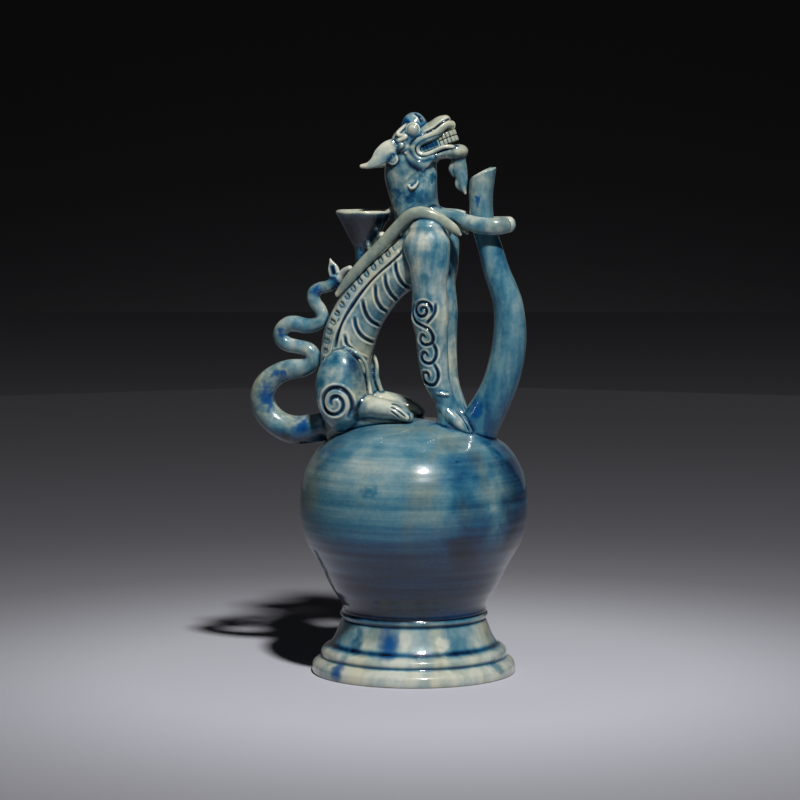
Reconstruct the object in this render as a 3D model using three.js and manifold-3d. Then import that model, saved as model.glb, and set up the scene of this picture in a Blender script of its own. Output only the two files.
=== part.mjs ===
// A glazed ewer: a thrown globe on a flared foot carries a seated, hand-modelled qilin.
// Liquid goes in at the cup on the animal's back, runs down through its hollow trunk into
// the globe, and leaves by the curved spout that the animal clasps.
// Millimetres, +Z up. The animal faces +X, and its right side is -Y. Each separately formed
// clay piece is one mesh, cut to its neighbours with a thin seam, as pieces luted together are.
import * as THREE from "three";
import { mergeVertices } from "three/addons/utils/BufferGeometryUtils.js";
import Module from "manifold-3d";

const wasm = await Module();
wasm.setup();

// Seam between two luted pieces, and the distance at which two points are one.
const SEAM = 0.3;
const SAME_POINT = 1e-4;

// Foot: a flared ring thrown by itself, with two stepped mouldings.
const FOOT_HEIGHT = 31.5;
const FOOT_RADIUS = 55;
const FOOT_RIM = 7;
const NECKING_RADIUS = 38.5;
const NECKING_WALL = 6;
// Share of the flare outwards, share of the height.
const FOOT_OUTLINE_SHARES = [
  [0.95, 0],
  [1, 0.06],
  [0.99, 0.12],
  [0.87, 0.21],
  [0.67, 0.295],
  [0.72, 0.335],
  [0.7, 0.39],
  [0.45, 0.47],
  [0.19, 0.7],
  [0.03, 0.91],
  [0.05, 0.965],
  [0.01, 1],
];
const FOOT_HOLLOW_SHARES = [
  [0, 1],
  [0.12, 0.62],
  [0.42, 0.36],
  [0.88, 0.16],
  [1, 0],
];

// Globe: the thrown reservoir, from the necking up to its low crown.
const GLOBE_RADIUS = 61.4;
const GLOBE_DROP = 59;
const GLOBE_RISE = 46.5;
const GLOBE_WALL = 4.5;
// Share of the way out from the necking to the belly, share of the drop below the belly.
const UNDERSIDE_SHARES = [
  [0, 1],
  [0.04, 0.898],
  [0.283, 0.747],
  [0.496, 0.58],
  [0.643, 0.483],
  [0.852, 0.339],
  [0.965, 0.186],
];
// Share of the belly radius, share of the rise above the belly.
const SHOULDER_SHARES = [
  [1, 0],
  [0.984, 0.237],
  [0.936, 0.43],
  [0.85, 0.62],
  [0.765, 0.716],
  [0.65, 0.813],
  [0.49, 0.903],
  [0.29, 0.974],
  [0, 1],
];
const THROWN_SIDES = 32;
const HOLLOW_SIDES = 14;
const BORE_SIDES = 12;

const BELLY_LEVEL = FOOT_HEIGHT + SEAM + GLOBE_DROP;
const CROWN_LEVEL = BELLY_LEVEL + GLOBE_RISE;

// Figure: every place on the animal is a share of these two sizes, along from the globe's
// axis and up from its crown.
const FIGURE_LENGTH = 100;
const FIGURE_HEIGHT = 162.5;

// Trunk: half depth in the plane of the animal, half width across it, and the wall.
const TRUNK_DEPTH = 12.6;
const TRUNK_WIDTH = 12.6;
const TRUNK_WALL = 3.6;
// Along, rise, share of the half depth, share of the half width.
const TRUNK_SHARES = [
  [0.13, 0.618, 0.62, 0.7],
  [0.07, 0.58, 0.98, 1],
  [-0.045, 0.508, 1, 1],
  [-0.16, 0.438, 1, 0.98],
  [-0.255, 0.35, 0.98, 0.98],
  [-0.325, 0.26, 1, 1],
  [-0.358, 0.17, 1.04, 1.04],
  [-0.365, 0.077, 1.04, 1.12],
  [-0.36, -0.03, 1, 1.16],
  [-0.34, -0.14, 0.84, 1],
];

// Neck.
const NECK_DEPTH = 12.6;
const NECK_WIDTH = 11.5;
const NECK_SHARES = [
  [0.04, 0.6, 0.98, 1],
  [0.005, 0.692, 1, 0.96],
  [-0.01, 0.748, 1.02, 0.96],
  [-0.024, 0.81, 1.06, 0.98],
  [-0.024, 0.86, 0.9, 0.86],
];

// Forelegs: straight, side by side, broad at the shoulder.
const FORELEG_DEPTH = 13;
const FORELEG_WIDTH = 8.6;
const FORELEG_SPREAD = 12.8;
// Along, share of the spread, rise, share of the half depth, share of the half width.
const FORELEG_SHARES = [
  [0.09, 1, 0.615, 0.72, 0.72],
  [0.09, 1, 0.57, 1, 1],
  [0.1, 1, 0.48, 0.92, 1],
  [0.107, 0.98, 0.392, 0.76, 0.88],
  [0.122, 0.95, 0.3, 0.65, 0.8],
  [0.128, 0.93, 0.22, 0.58, 0.72],
  [0.132, 0.9, 0.145, 0.56, 0.7],
  [0.174, 0.87, 0.08, 0.42, 0.58],
  [0.19, 0.86, 0.03, 0.46, 0.62],
  [0.2, 0.86, -0.05, 0.5, 0.66],
];
const FOREPAW_HEIGHT = 3.2;
const FOREPAW_FAN = 2.5;
const FOREPAW_TOES = 3;
// Along, rise, share of the toe's half height and half width, share of the fan sideways.
const FOREPAW_SHARES = [
  [0.18, 0.035, 0.8, 1.1],
  [0.225, 0.024, 1.05, 1.35],
  [0.265, 0.006, 1, 1.55],
  [0.285, -0.015, 0.9, 1.65],
];

// Haunches and hind feet.
const HAUNCH_DEPTH = 14;
const HAUNCH_WIDTH = 10;
const HAUNCH_HEIGHT = 22;
const HAUNCH_SPREAD = 15.5;
const HAUNCH_PLACE_SHARES = [-0.358, 0.09];
const HIND_FOOT_DEPTH = 7;
const HIND_FOOT_WIDTH = 6.4;
const HIND_FOOT_SPREAD = 15.5;
const HIND_FOOT_SHARES = [
  [-0.3, 0.96, 0.02, 0.9, 0.9],
  [-0.22, 1, 0.026, 1, 1],
  [-0.14, 1.02, 0.026, 0.98, 1],
  [-0.08, 1.02, 0.014, 0.84, 0.98],
];
const HIND_TOE_HEIGHT = 2.9;
const HIND_TOE_FAN = 2.6;
const HIND_TOES = 3;
const HIND_TOE_SHARES = [
  [-0.1, 0.034, 1, 1.2],
  [-0.055, 0.03, 1.1, 1.5],
  [-0.01, 0.008, 1, 1.65],
  [0.01, -0.02, 0.8, 1.7],
];

// Tail: one rolled coil that loops low, folds twice up the rump and ends in a flame.
const TAIL_RADIUS = 6.7;
// Along, rise, share of the radius.
const TAIL_SHARES = [
  [-0.42, -0.015, 1],
  [-0.52, -0.035, 1],
  [-0.62, -0.048, 1],
  [-0.715, -0.035, 1],
  [-0.8, 0.004, 1],
  [-0.838, 0.056, 1],
  [-0.819, 0.104, 0.98],
  [-0.752, 0.141, 0.93],
  [-0.674, 0.152, 0.86],
  [-0.59, 0.158, 0.78],
  [-0.53, 0.178, 0.68],
  [-0.538, 0.207, 0.6],
  [-0.61, 0.224, 0.58],
  [-0.68, 0.234, 0.58],
  [-0.722, 0.262, 0.58],
  [-0.71, 0.292, 0.58],
  [-0.655, 0.302, 0.58],
  [-0.59, 0.292, 0.56],
  [-0.53, 0.298, 0.54],
  [-0.488, 0.328, 0.52],
  [-0.492, 0.36, 0.5],
  [-0.532, 0.39, 0.48],
  [-0.543, 0.42, 0.46],
  [-0.51, 0.436, 0.45],
  [-0.46, 0.437, 0.44],
];
// Tail flame: a pointed leaf with one side lobe.
const FLAME_HALF_WIDTH = 3.2;
const FLAME_THICKNESS = 1.5;
// Along, rise, share of the half width.
const FLAME_LEAF_SHARES = [
  [-0.445, 0.43, 0.6],
  [-0.45, 0.456, 0.95],
  [-0.452, 0.478, 0.85],
  [-0.458, 0.498, 0.5],
  [-0.463, 0.512, 0.16],
];
const FLAME_LOBE_SHARES = [
  [-0.455, 0.44, 0.6],
  [-0.43, 0.462, 0.75],
  [-0.41, 0.482, 0.3],
];

// Straps: two flattened rolls that run from the chest over each shoulder to the rump.
const STRAP_DEPTH = 3.8;
const STRAP_WIDTH = 2.8;
const STRAP_SPREAD = 13;
const STRAP_SHARES = [
  [0.265, 0.72, 0.612, 0.3, 0.5],
  [0.225, 0.88, 0.634, 0.95, 1],
  [0.15, 1.02, 0.663, 1.06, 1.05],
  [0.08, 1.06, 0.678, 1.12, 1.05],
  [0.01, 1, 0.672, 1.12, 1.05],
  [-0.05, 0.84, 0.638, 1.1, 1],
  [-0.115, 0.7, 0.597, 1.04, 1],
  [-0.18, 0.6, 0.555, 1, 1],
  [-0.26, 0.53, 0.507, 0.96, 1],
  [-0.34, 0.45, 0.453, 0.9, 0.95],
  [-0.405, 0.38, 0.404, 0.6, 0.8],
];

// Clasp arms: two short arms from the throat that hold the spout between them.
const CLASP_DEPTH = 4.2;
const CLASP_WIDTH = 3.4;
const CLASP_SPREAD = 9.3;
const CLASP_SHARES = [
  [0.07, 0.5, 0.685, 0.9, 0.9],
  [0.16, 0.56, 0.668, 0.9, 0.9],
  [0.25, 0.72, 0.66, 0.88, 1],
  [0.32, 0.96, 0.645, 0.98, 1],
  [0.385, 1.03, 0.634, 1, 1],
  [0.45, 0.98, 0.63, 1, 1],
  [0.51, 0.72, 0.635, 0.96, 1],
];

// Spine ridges: a beaded strip along each side of the back.
const RIDGE_RADIUS = 1.5;
const BEAD_RADIUS = 2.4;
// From bead to bead, measured on the trunk's middle line.
const BEAD_PITCH = 7.2;
const RINGS_PER_BEAD = 3;
const TRUNK_SAMPLES = 360;
// Where a strip starts and ends along the trunk, and how far round from the back it lies.
const RIDGE_SPAN_SHARES = [0.16, 0.76];
const RIDGE_TURN = THREE.MathUtils.degToRad(34);

// Spout: a hollow curved tube from the shoulder to its slanted mouth.
const SPOUT_RADIUS = 8.4;
const SPOUT_WALL = 2.2;
// Along, rise, share of the radius.
const SPOUT_SHARES = [
  [0.27, -0.15, 1.4],
  [0.325, -0.06, 1.36],
  [0.375, 0.0, 1.2],
  [0.42, 0.052, 1.06],
  [0.462, 0.115, 1],
  [0.503, 0.21, 0.99],
  [0.521, 0.29, 1],
  [0.513, 0.37, 0.96],
  [0.487, 0.425, 0.88],
  [0.45, 0.485, 0.79],
  [0.412, 0.565, 0.74],
  [0.384, 0.62, 0.74],
  [0.37, 0.67, 0.76],
  [0.374, 0.735, 0.76],
  [0.383, 0.79, 0.8],
  [0.392, 0.85, 0.86],
];
const MOUTH_SLANT = THREE.MathUtils.degToRad(30);
const MOUTH_PLACE_SHARES = [0.378, 0.792];

// Filling cup: a thrown cone on a short stem, standing on the back.
const CUP_RADIUS = 14.6;
const CUP_WALL = 2;
const CUP_STEM_RADIUS = 4.4;
const CUP_BORE_RADIUS = 3.1;
const CUP_HEIGHT = 42;
const CUP_SIDES = 18;
const CUP_PLACE_SHARES = [-0.275, 0.672];
// Share of the way out from the stem to the rim, share of the height.
const CUP_OUTLINE_SHARES = [
  [0, 0],
  [0, 0.44],
  [0.04, 0.53],
  [0.23, 0.61],
  [0.5, 0.735],
  [0.71, 0.86],
  [0.95, 0.97],
  [1, 1],
];
// Share of the way out from the bore to the lip's inner edge, share of the height.
const CUP_HOLLOW_SHARES = [
  [1, 1],
  [0.72, 0.88],
  [0.46, 0.75],
  [0.16, 0.63],
  [0, 0.56],
  [0, 0],
];

// Head: tipped up in a frame of its own, where every place is a share of its length.
const HEAD_LENGTH = 30;
const HEAD_TIP_UP = THREE.MathUtils.degToRad(20);
const HEAD_PLACE_SHARES = [-0.02, 0.877];
// Along, up, half depth, half width.
const MUZZLE_SHARES = [
  [0.05, 0.17, 0.23, 0.31],
  [0.3, 0.165, 0.185, 0.285],
  [0.53, 0.195, 0.155, 0.255],
  [0.72, 0.245, 0.125, 0.235],
  [0.84, 0.235, 0.115, 0.19],
];
const JAW_SHARES = [
  [-0.08, -0.2, 0.11, 0.29],
  [0.2, -0.235, 0.105, 0.3],
  [0.47, -0.27, 0.11, 0.28],
  [0.72, -0.285, 0.122, 0.245],
  [0.86, -0.272, 0.11, 0.18],
];
const CRANIUM_PLACE_SHARES = [0, 0.15];
const CRANIUM_HALF_SHARES = [0.35, 0.34, 0.34];
const CREST_PLACE_SHARES = [0.2, 0.4];
const CREST_HALF_SHARES = [0.21, 0.2, 0.205];
const EYE_RADIUS = 3.1;
const EYE_PLACE_SHARES = [0.165, 0.3];
const BOSS_RADIUS = 3.1;
const BOSS_SPREAD = 9;
const BOSS_PLACE_SHARES = [-0.286, -0.066];
const EAR_THICKNESS = 1.7;
const EAR_SPREAD = 9.6;
// Along, share of the spread, up, half depth.
const EAR_SHARES = [
  [-0.1, 0.86, 0.25, 0.1],
  [-0.3, 1, 0.15, 0.13],
  [-0.48, 1.12, 0.035, 0.14],
  [-0.65, 1.2, -0.015, 0.085],
  [-0.85, 1.28, 0.035, 0.03],
];
const FRILL_THICKNESS = 1.9;
const FRILL_SPREAD = 9;
const FRILL_SHARES = [
  [0.2, 1.02, 0.07, 0.05],
  [0.08, 1.06, 0.0, 0.08],
  [0.03, 1.06, -0.14, 0.09],
  [0.09, 1.04, -0.28, 0.1],
  [0.22, 1, -0.35, 0.09],
  [0.37, 0.94, -0.32, 0.05],
];
const CURL_RADIUS = 1.6;
// Along and up, on the side of the cranium.
const CURL_SHARES = [
  [0.03, 0.4],
  [-0.06, 0.36],
  [-0.1, 0.28],
  [0, 0.25],
  [0, 0.17],
  [-0.12, 0.15],
  [-0.15, 0.07],
  [-0.04, 0.03],
];

// Teeth: two rows of square teeth on a band bent round the mouth's arch.
const TEETH = 11;
const ARCH_BACK = 6;
const ARCH_LENGTH = 18.6;
const ARCH_HALF_WIDTH = 6.9;
const BAND_THICKNESS = 1.2;
const TOOTH_THICKNESS = 2.2;
const TOOTH_FILL_SHARE = 0.84;
const UPPER_TOOTH_LENGTH = 6;
const LOWER_TOOTH_LENGTH = 5;
const BITE_SHARE = -0.045;

// Beard: a pointed tuft under the chin, placed as the rest of the head is.
const BEARD_SHARES = [
  [0.863, -0.378, 0.087, 0.08],
  [0.743, -0.54, 0.156, 0.1],
  [0.677, -0.654, 0.173, 0.1],
  [0.67, -0.79, 0.114, 0.08],
  [0.661, -0.932, 0.08, 0.06],
  [0.651, -1.039, 0.028, 0.03],
];

// One glaze, breaking from cobalt where it pools to celadon and ivory where it thins.
const GLAZES = {
  cobalt: { color: 0x1f4f86, roughness: 0.22 },
  teal: { color: 0x3f6f86, roughness: 0.22 },
  celadon: { color: 0x8fa194, roughness: 0.26 },
  ivory: { color: 0xc9c6ac, roughness: 0.3 },
};

// Solids and geometries

// A closed geometry as a solid that can be cut and joined, without its flat slivers.
function solidOf(geometry) {
  const bare = geometry.clone();
  bare.deleteAttribute("normal");
  bare.deleteAttribute("uv");
  const merged = mergeVertices(bare, SAME_POINT);
  const corners = merged.index.array;
  const faces = [];
  for (let i = 0; i < corners.length; i += 3) {
    const [a, b, c] = corners.slice(i, i + 3);
    if (a !== b && b !== c && c !== a) faces.push(a, b, c);
  }
  const mesh = new wasm.Mesh({
    numProp: 3,
    vertProperties: new Float32Array(merged.attributes.position.array),
    triVerts: new Uint32Array(faces),
  });
  return new wasm.Manifold(mesh);
}

function geometryOf(solid) {
  const { vertProperties, triVerts } = solid.getMesh();
  const geometry = new THREE.BufferGeometry();
  geometry.setAttribute("position", new THREE.BufferAttribute(vertProperties, 3));
  geometry.setIndex(new THREE.BufferAttribute(triVerts, 1));
  geometry.computeVertexNormals();
  return geometry;
}

const joined = (solids) => solids.reduce((whole, solid) => whole.add(solid));

const largestBody = (solid) => solid.decompose().sort((a, b) => b.volume() - a.volume())[0];

// Places

const figurePlace = (along, rise, side = 0) =>
  new THREE.Vector3(along * FIGURE_LENGTH, side, CROWN_LEVEL + rise * FIGURE_HEIGHT);

const headOrigin = figurePlace(...HEAD_PLACE_SHARES);
const headTurn = new THREE.Quaternion().setFromAxisAngle(new THREE.Vector3(0, -1, 0), HEAD_TIP_UP);

// A place on the head: shares of its length along and up, and a length to the side.
const headPlace = (alongShare, upShare, side = 0) =>
  new THREE.Vector3(alongShare * HEAD_LENGTH, side, upShare * HEAD_LENGTH)
    .applyQuaternion(headTurn)
    .add(headOrigin);

// How far out the side of the cranium lies at a place along and up.
function craniumSide(alongShare, upShare) {
  const [halfAlong, halfWidth, halfUp] = CRANIUM_HALF_SHARES;
  const offAlong = (alongShare - CRANIUM_PLACE_SHARES[0]) / halfAlong;
  const offUp = (upShare - CRANIUM_PLACE_SHARES[1]) / halfUp;
  return halfWidth * HEAD_LENGTH * Math.sqrt(Math.max(0, 1 - offAlong ** 2 - offUp ** 2));
}

// Lofted forms

const ACROSS = new THREE.Vector3(0, 1, 0);
const DOME_STEPS = 2;

// The two axes of an oval section: across the animal, and out of the bend.
function sectionAxes(tangent) {
  const across = ACROSS.clone().addScaledVector(tangent, -ACROSS.dot(tangent)).normalize();
  return { across, out: tangent.clone().cross(across) };
}

// Oval sections on a smooth line through stations { at, depth, width }, grown all round.
function sectionsAlong(stations, rings, grow) {
  const line = new THREE.CatmullRomCurve3(stations.map(({ at }) => at));
  const sizes = new THREE.CatmullRomCurve3(
    stations.map(({ depth, width }) => new THREE.Vector3(depth, width, 0)),
  );
  return Array.from({ length: rings + 1 }, (_, ring) => {
    const size = sizes.getPoint(ring / rings);
    return {
      at: line.getPoint(ring / rings),
      tangent: line.getTangent(ring / rings),
      depth: size.x + grow,
      width: size.y + grow,
    };
  });
}

// The shrinking sections that close an end as a dome, and the dome's pole.
function domeOn(section, way) {
  const reach = way * Math.min(section.depth, section.width);
  const steps = Array.from({ length: DOME_STEPS }, (_, step) => {
    const angle = ((step + 1) / (DOME_STEPS + 1)) * (Math.PI / 2);
    return {
      at: section.at.clone().addScaledVector(section.tangent, reach * Math.sin(angle)),
      tangent: section.tangent,
      depth: section.depth * Math.cos(angle),
      width: section.width * Math.cos(angle),
    };
  });
  return { steps, pole: section.at.clone().addScaledVector(section.tangent, reach) };
}

// A limb of oval section with domed ends: its rings of points skinned, with a pole at each end.
function limb(stations, { rings, sides, grow = 0 }) {
  const body = sectionsAlong(stations, rings, grow);
  const start = domeOn(body[0], -1);
  const end = domeOn(body[rings], 1);
  const sections = [...start.steps.reverse(), ...body, ...end.steps];
  const points = sections.flatMap(({ at, tangent, depth, width }) => {
    const { across, out } = sectionAxes(tangent);
    return Array.from({ length: sides }, (_, side) => {
      const angle = (side / sides) * Math.PI * 2;
      const point = at.clone().addScaledVector(out, depth * Math.cos(angle));
      return point.addScaledVector(across, width * Math.sin(angle));
    });
  });
  const startPole = points.push(start.pole) - 1;
  const endPole = points.push(end.pole) - 1;
  const lastRing = (sections.length - 1) * sides;
  const faces = [];
  for (let side = 0; side < sides; side += 1) {
    const next = (side + 1) % sides;
    faces.push(startPole, side, next);
    faces.push(endPole, lastRing + next, lastRing + side);
    for (let ring = 0; ring < lastRing; ring += sides) {
      faces.push(ring + side, ring + sides + side, ring + next);
      faces.push(ring + next, ring + sides + side, ring + sides + next);
    }
  }
  const geometry = new THREE.BufferGeometry().setFromPoints(points);
  geometry.setIndex(faces);
  return solidOf(geometry);
}

// An oval boss, with half sizes along its own X, Y and Z.
function boss(at, halves, { turn, grow = 0, sides = 16, rings = 10 } = {}) {
  const geometry = new THREE.SphereGeometry(1, sides, rings);
  geometry.scale(...halves.map((half) => half + grow));
  if (turn) geometry.applyQuaternion(turn);
  geometry.translate(at.x, at.y, at.z);
  return solidOf(geometry);
}

// A thrown form: an outline of [radius, level] points turned about an upright axis.
function thrown(outline, sides, axisAlong = 0) {
  const points = outline.map(([radius, level]) => new THREE.Vector2(radius, level));
  const geometry = new THREE.LatheGeometry(points, sides);
  geometry.rotateX(Math.PI / 2);
  geometry.translate(axisAlong, 0, 0);
  return solidOf(geometry);
}

const uprightBore = (radius, bottom, top, axisAlong) =>
  thrown([[0, bottom], [radius, bottom], [radius, top], [0, top]], BORE_SIDES, axisAlong);

// Stations of a limb, from its table of shares

const middleStations = (shares, halfDepth, halfWidth) =>
  shares.map(([along, rise, depth, width = depth]) => ({
    at: figurePlace(along, rise),
    depth: depth * halfDepth,
    width: width * halfWidth,
  }));

const sideStations = (shares, side, spread, halfDepth, halfWidth) =>
  shares.map(([along, out, rise, depth, width]) => ({
    at: figurePlace(along, rise, side * out * spread),
    depth: depth * halfDepth,
    width: width * halfWidth,
  }));

const headStations = (shares) =>
  shares.map(([along, up, depth, width]) => ({
    at: headPlace(along, up),
    depth: depth * HEAD_LENGTH,
    width: width * HEAD_LENGTH,
  }));

const headFlapStations = (shares, side, spread, thickness) =>
  shares.map(([along, out, up, depth]) => ({
    at: headPlace(along, up, side * out * spread),
    depth: depth * HEAD_LENGTH,
    width: thickness,
  }));

// Vessel

// The foot is a closed outline: up the flared outside, then down the hollow.
function footRing() {
  const flare = FOOT_RADIUS - NECKING_RADIUS;
  const openingTop = NECKING_RADIUS - NECKING_WALL;
  const openingFlare = FOOT_RADIUS - FOOT_RIM - openingTop;
  const outside = FOOT_OUTLINE_SHARES.map(([out, up]) => [
    NECKING_RADIUS + out * flare,
    up * FOOT_HEIGHT,
  ]);
  const hollow = FOOT_HOLLOW_SHARES.map(([out, up]) => [
    openingTop + out * openingFlare,
    up * FOOT_HEIGHT,
  ]);
  return thrown([...outside, ...hollow, outside[0]], THROWN_SIDES);
}

// The solid globe, grown by the seam for cutting a neighbour or drawn in by its wall.
function globeForm(grow, sides = THROWN_SIDES) {
  const bellyOut = GLOBE_RADIUS - NECKING_RADIUS;
  const underside = UNDERSIDE_SHARES.map(([out, drop]) => [
    NECKING_RADIUS + out * bellyOut + grow,
    BELLY_LEVEL - drop * (GLOBE_DROP + grow),
  ]);
  const shoulder = SHOULDER_SHARES.map(([out, rise]) => [
    out * (GLOBE_RADIUS + grow),
    BELLY_LEVEL + rise * (GLOBE_RISE + grow),
  ]);
  return thrown([[0, BELLY_LEVEL - GLOBE_DROP - grow], ...underside, ...shoulder], sides);
}

const spoutForm = (grow, rings = 16, sides = 12) =>
  limb(middleStations(SPOUT_SHARES, SPOUT_RADIUS, SPOUT_RADIUS), { rings, sides, grow });

// A block above the slanted mouth, twice as wide as the spout.
function aboveMouth() {
  const reach = 2 * 2 * SPOUT_RADIUS;
  const block = new THREE.BoxGeometry(reach, reach, reach);
  block.translate(0, 0, reach / 2);
  block.rotateY(-MOUTH_SLANT);
  const at = figurePlace(...MOUTH_PLACE_SHARES);
  block.translate(at.x, at.y, at.z);
  return solidOf(block);
}

const cupAxis = figurePlace(...CUP_PLACE_SHARES);
const cupFloor = cupAxis.z - CUP_HEIGHT;

// The cup is a closed outline: up the outside, over the lip, then down the hollow and the bore.
function cupForm(grow = 0, hollow = true) {
  const spread = CUP_RADIUS - CUP_STEM_RADIUS;
  const lipSpread = CUP_RADIUS - CUP_WALL / 2 - CUP_BORE_RADIUS;
  const outside = CUP_OUTLINE_SHARES.map(([out, up]) => [
    CUP_STEM_RADIUS + out * spread + grow,
    cupFloor + up * CUP_HEIGHT,
  ]);
  const inside = CUP_HOLLOW_SHARES.map(([out, up]) => [
    CUP_BORE_RADIUS + out * lipSpread,
    cupFloor + up * CUP_HEIGHT,
  ]);
  const closing = hollow ? [...inside, outside[0]] : [[0, cupAxis.z]];
  const start = hollow ? [] : [[0, cupFloor]];
  return thrown([...start, ...outside, ...closing], CUP_SIDES, cupAxis.x);
}

// Animal

const trunkForm = (grow, rings = 11, sides = 14) =>
  limb(middleStations(TRUNK_SHARES, TRUNK_DEPTH, TRUNK_WIDTH), { rings, sides, grow });

const neckForm = (grow) =>
  limb(middleStations(NECK_SHARES, NECK_DEPTH, NECK_WIDTH), { rings: 5, sides: 12, grow });

// Toes fanned across a foot, each a short limb that dips onto the globe.
function toes(shares, count, side, spread, height, fan, grow) {
  return Array.from({ length: count }, (_, toe) => {
    const lean = (toe / (count - 1)) * 2 - 1;
    const stations = shares.map(([along, rise, size, splay]) => ({
      at: figurePlace(along, rise, side * spread + lean * splay * fan),
      depth: size * height,
      width: size * fan,
    }));
    return limb(stations, { rings: 3, sides: 5, grow });
  });
}

function forelegForm(side, grow) {
  const spread = FORELEG_SPREAD;
  const stations = sideStations(FORELEG_SHARES, side, spread, FORELEG_DEPTH, FORELEG_WIDTH);
  const pawSpread = spread * FORELEG_SHARES[FORELEG_SHARES.length - 1][1];
  return joined([
    limb(stations, { rings: 11, sides: 10, grow }),
    ...toes(FOREPAW_SHARES, FOREPAW_TOES, side, pawSpread, FOREPAW_HEIGHT, FOREPAW_FAN, grow),
  ]);
}

function haunchForm(side, grow) {
  const at = figurePlace(...HAUNCH_PLACE_SHARES, side * HAUNCH_SPREAD);
  return boss(at, [HAUNCH_DEPTH, HAUNCH_WIDTH, HAUNCH_HEIGHT], { grow, sides: 14, rings: 8 });
}

function hindFootForm(side, grow) {
  const spread = HIND_FOOT_SPREAD;
  const stations = sideStations(HIND_FOOT_SHARES, side, spread, HIND_FOOT_DEPTH, HIND_FOOT_WIDTH);
  return joined([
    limb(stations, { rings: 4, sides: 10, grow }),
    ...toes(HIND_TOE_SHARES, HIND_TOES, side, spread, HIND_TOE_HEIGHT, HIND_TOE_FAN, grow),
  ]);
}

const tailForm = (grow) =>
  limb(middleStations(TAIL_SHARES, TAIL_RADIUS, TAIL_RADIUS), { rings: 42, sides: 8, grow });

function flameForm(grow) {
  const leaf = (shares) =>
    shares.map(([along, rise, width]) => ({
      at: figurePlace(along, rise),
      depth: width * FLAME_HALF_WIDTH,
      width: FLAME_THICKNESS,
    }));
  return joined([
    limb(leaf(FLAME_LEAF_SHARES), { rings: 4, sides: 6, grow }),
    limb(leaf(FLAME_LOBE_SHARES), { rings: 2, sides: 6, grow }),
  ]);
}

const strapForm = (side, grow) =>
  limb(sideStations(STRAP_SHARES, side, STRAP_SPREAD, STRAP_DEPTH, STRAP_WIDTH), {
    rings: 14,
    sides: 7,
    grow,
  });

const claspForm = (side, grow) =>
  limb(sideStations(CLASP_SHARES, side, CLASP_SPREAD, CLASP_DEPTH, CLASP_WIDTH), {
    rings: 8,
    sides: 7,
    grow,
  });

// A roll along the trunk's surface, turned round from the back, that swells at each bead.
function ridgeForm(side, grow) {
  const stations = middleStations(TRUNK_SHARES, TRUNK_DEPTH, TRUNK_WIDTH);
  const [from, to] = RIDGE_SPAN_SHARES.map((share) => Math.round(share * TRUNK_SAMPLES));
  const trunk = sectionsAlong(stations, TRUNK_SAMPLES, 0).slice(from, to + 1);
  const length = trunk.slice(1).reduce((sum, { at }, i) => sum + at.distanceTo(trunk[i].at), 0);
  const rings = RINGS_PER_BEAD * Math.max(1, Math.round(length / BEAD_PITCH));
  const beads = Array.from({ length: rings + 1 }, (_, ring) => {
    const { at, tangent, depth, width } = trunk[Math.round((ring / rings) * (to - from))];
    const { across, out } = sectionAxes(tangent);
    const swell = Math.abs(Math.sin((ring / RINGS_PER_BEAD) * Math.PI));
    const radius = RIDGE_RADIUS + swell * (BEAD_RADIUS - RIDGE_RADIUS);
    const place = at.clone().addScaledVector(out, -depth * Math.cos(RIDGE_TURN));
    place.addScaledVector(across, side * width * Math.sin(RIDGE_TURN));
    return { at: place, depth: radius, width: radius };
  });
  return limb(beads, { rings, sides: 5, grow });
}

// Head

function headForm(grow) {
  const halves = CRANIUM_HALF_SHARES.map((share) => share * HEAD_LENGTH);
  const shape = { turn: headTurn, grow, sides: 14, rings: 8 };
  const cranium = boss(headPlace(...CRANIUM_PLACE_SHARES), halves, shape);
  return cranium.add(limb(headStations(MUZZLE_SHARES), { rings: 6, sides: 10, grow }));
}

const jawForm = (grow) => limb(headStations(JAW_SHARES), { rings: 6, sides: 10, grow });

const crestForm = (grow) =>
  boss(
    headPlace(...CREST_PLACE_SHARES),
    CREST_HALF_SHARES.map((share) => share * HEAD_LENGTH),
    { turn: headTurn, grow, sides: 10, rings: 7 },
  );

const eyeForm = (side, grow) =>
  boss(
    headPlace(...EYE_PLACE_SHARES, side * craniumSide(...EYE_PLACE_SHARES)),
    [EYE_RADIUS, EYE_RADIUS, EYE_RADIUS],
    { grow, sides: 10, rings: 6 },
  );

const earBossForm = (side, grow) =>
  boss(
    headPlace(...BOSS_PLACE_SHARES, side * BOSS_SPREAD),
    [BOSS_RADIUS, BOSS_RADIUS, BOSS_RADIUS],
    { grow, sides: 10, rings: 6 },
  );

function earForm(side, grow) {
  const stations = headFlapStations(EAR_SHARES, side, EAR_SPREAD, EAR_THICKNESS);
  return limb(stations, { rings: 6, sides: 7, grow });
}

function frillForm(side, grow) {
  const stations = headFlapStations(FRILL_SHARES, side, FRILL_SPREAD, FRILL_THICKNESS);
  return limb(stations, { rings: 6, sides: 6, grow });
}

function browCurlForm(side, grow) {
  const stations = CURL_SHARES.map(([along, up]) => ({
    at: headPlace(along, up, side * craniumSide(along, up)),
    depth: CURL_RADIUS,
    width: CURL_RADIUS,
  }));
  return limb(stations, { rings: 9, sides: 5, grow });
}

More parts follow.
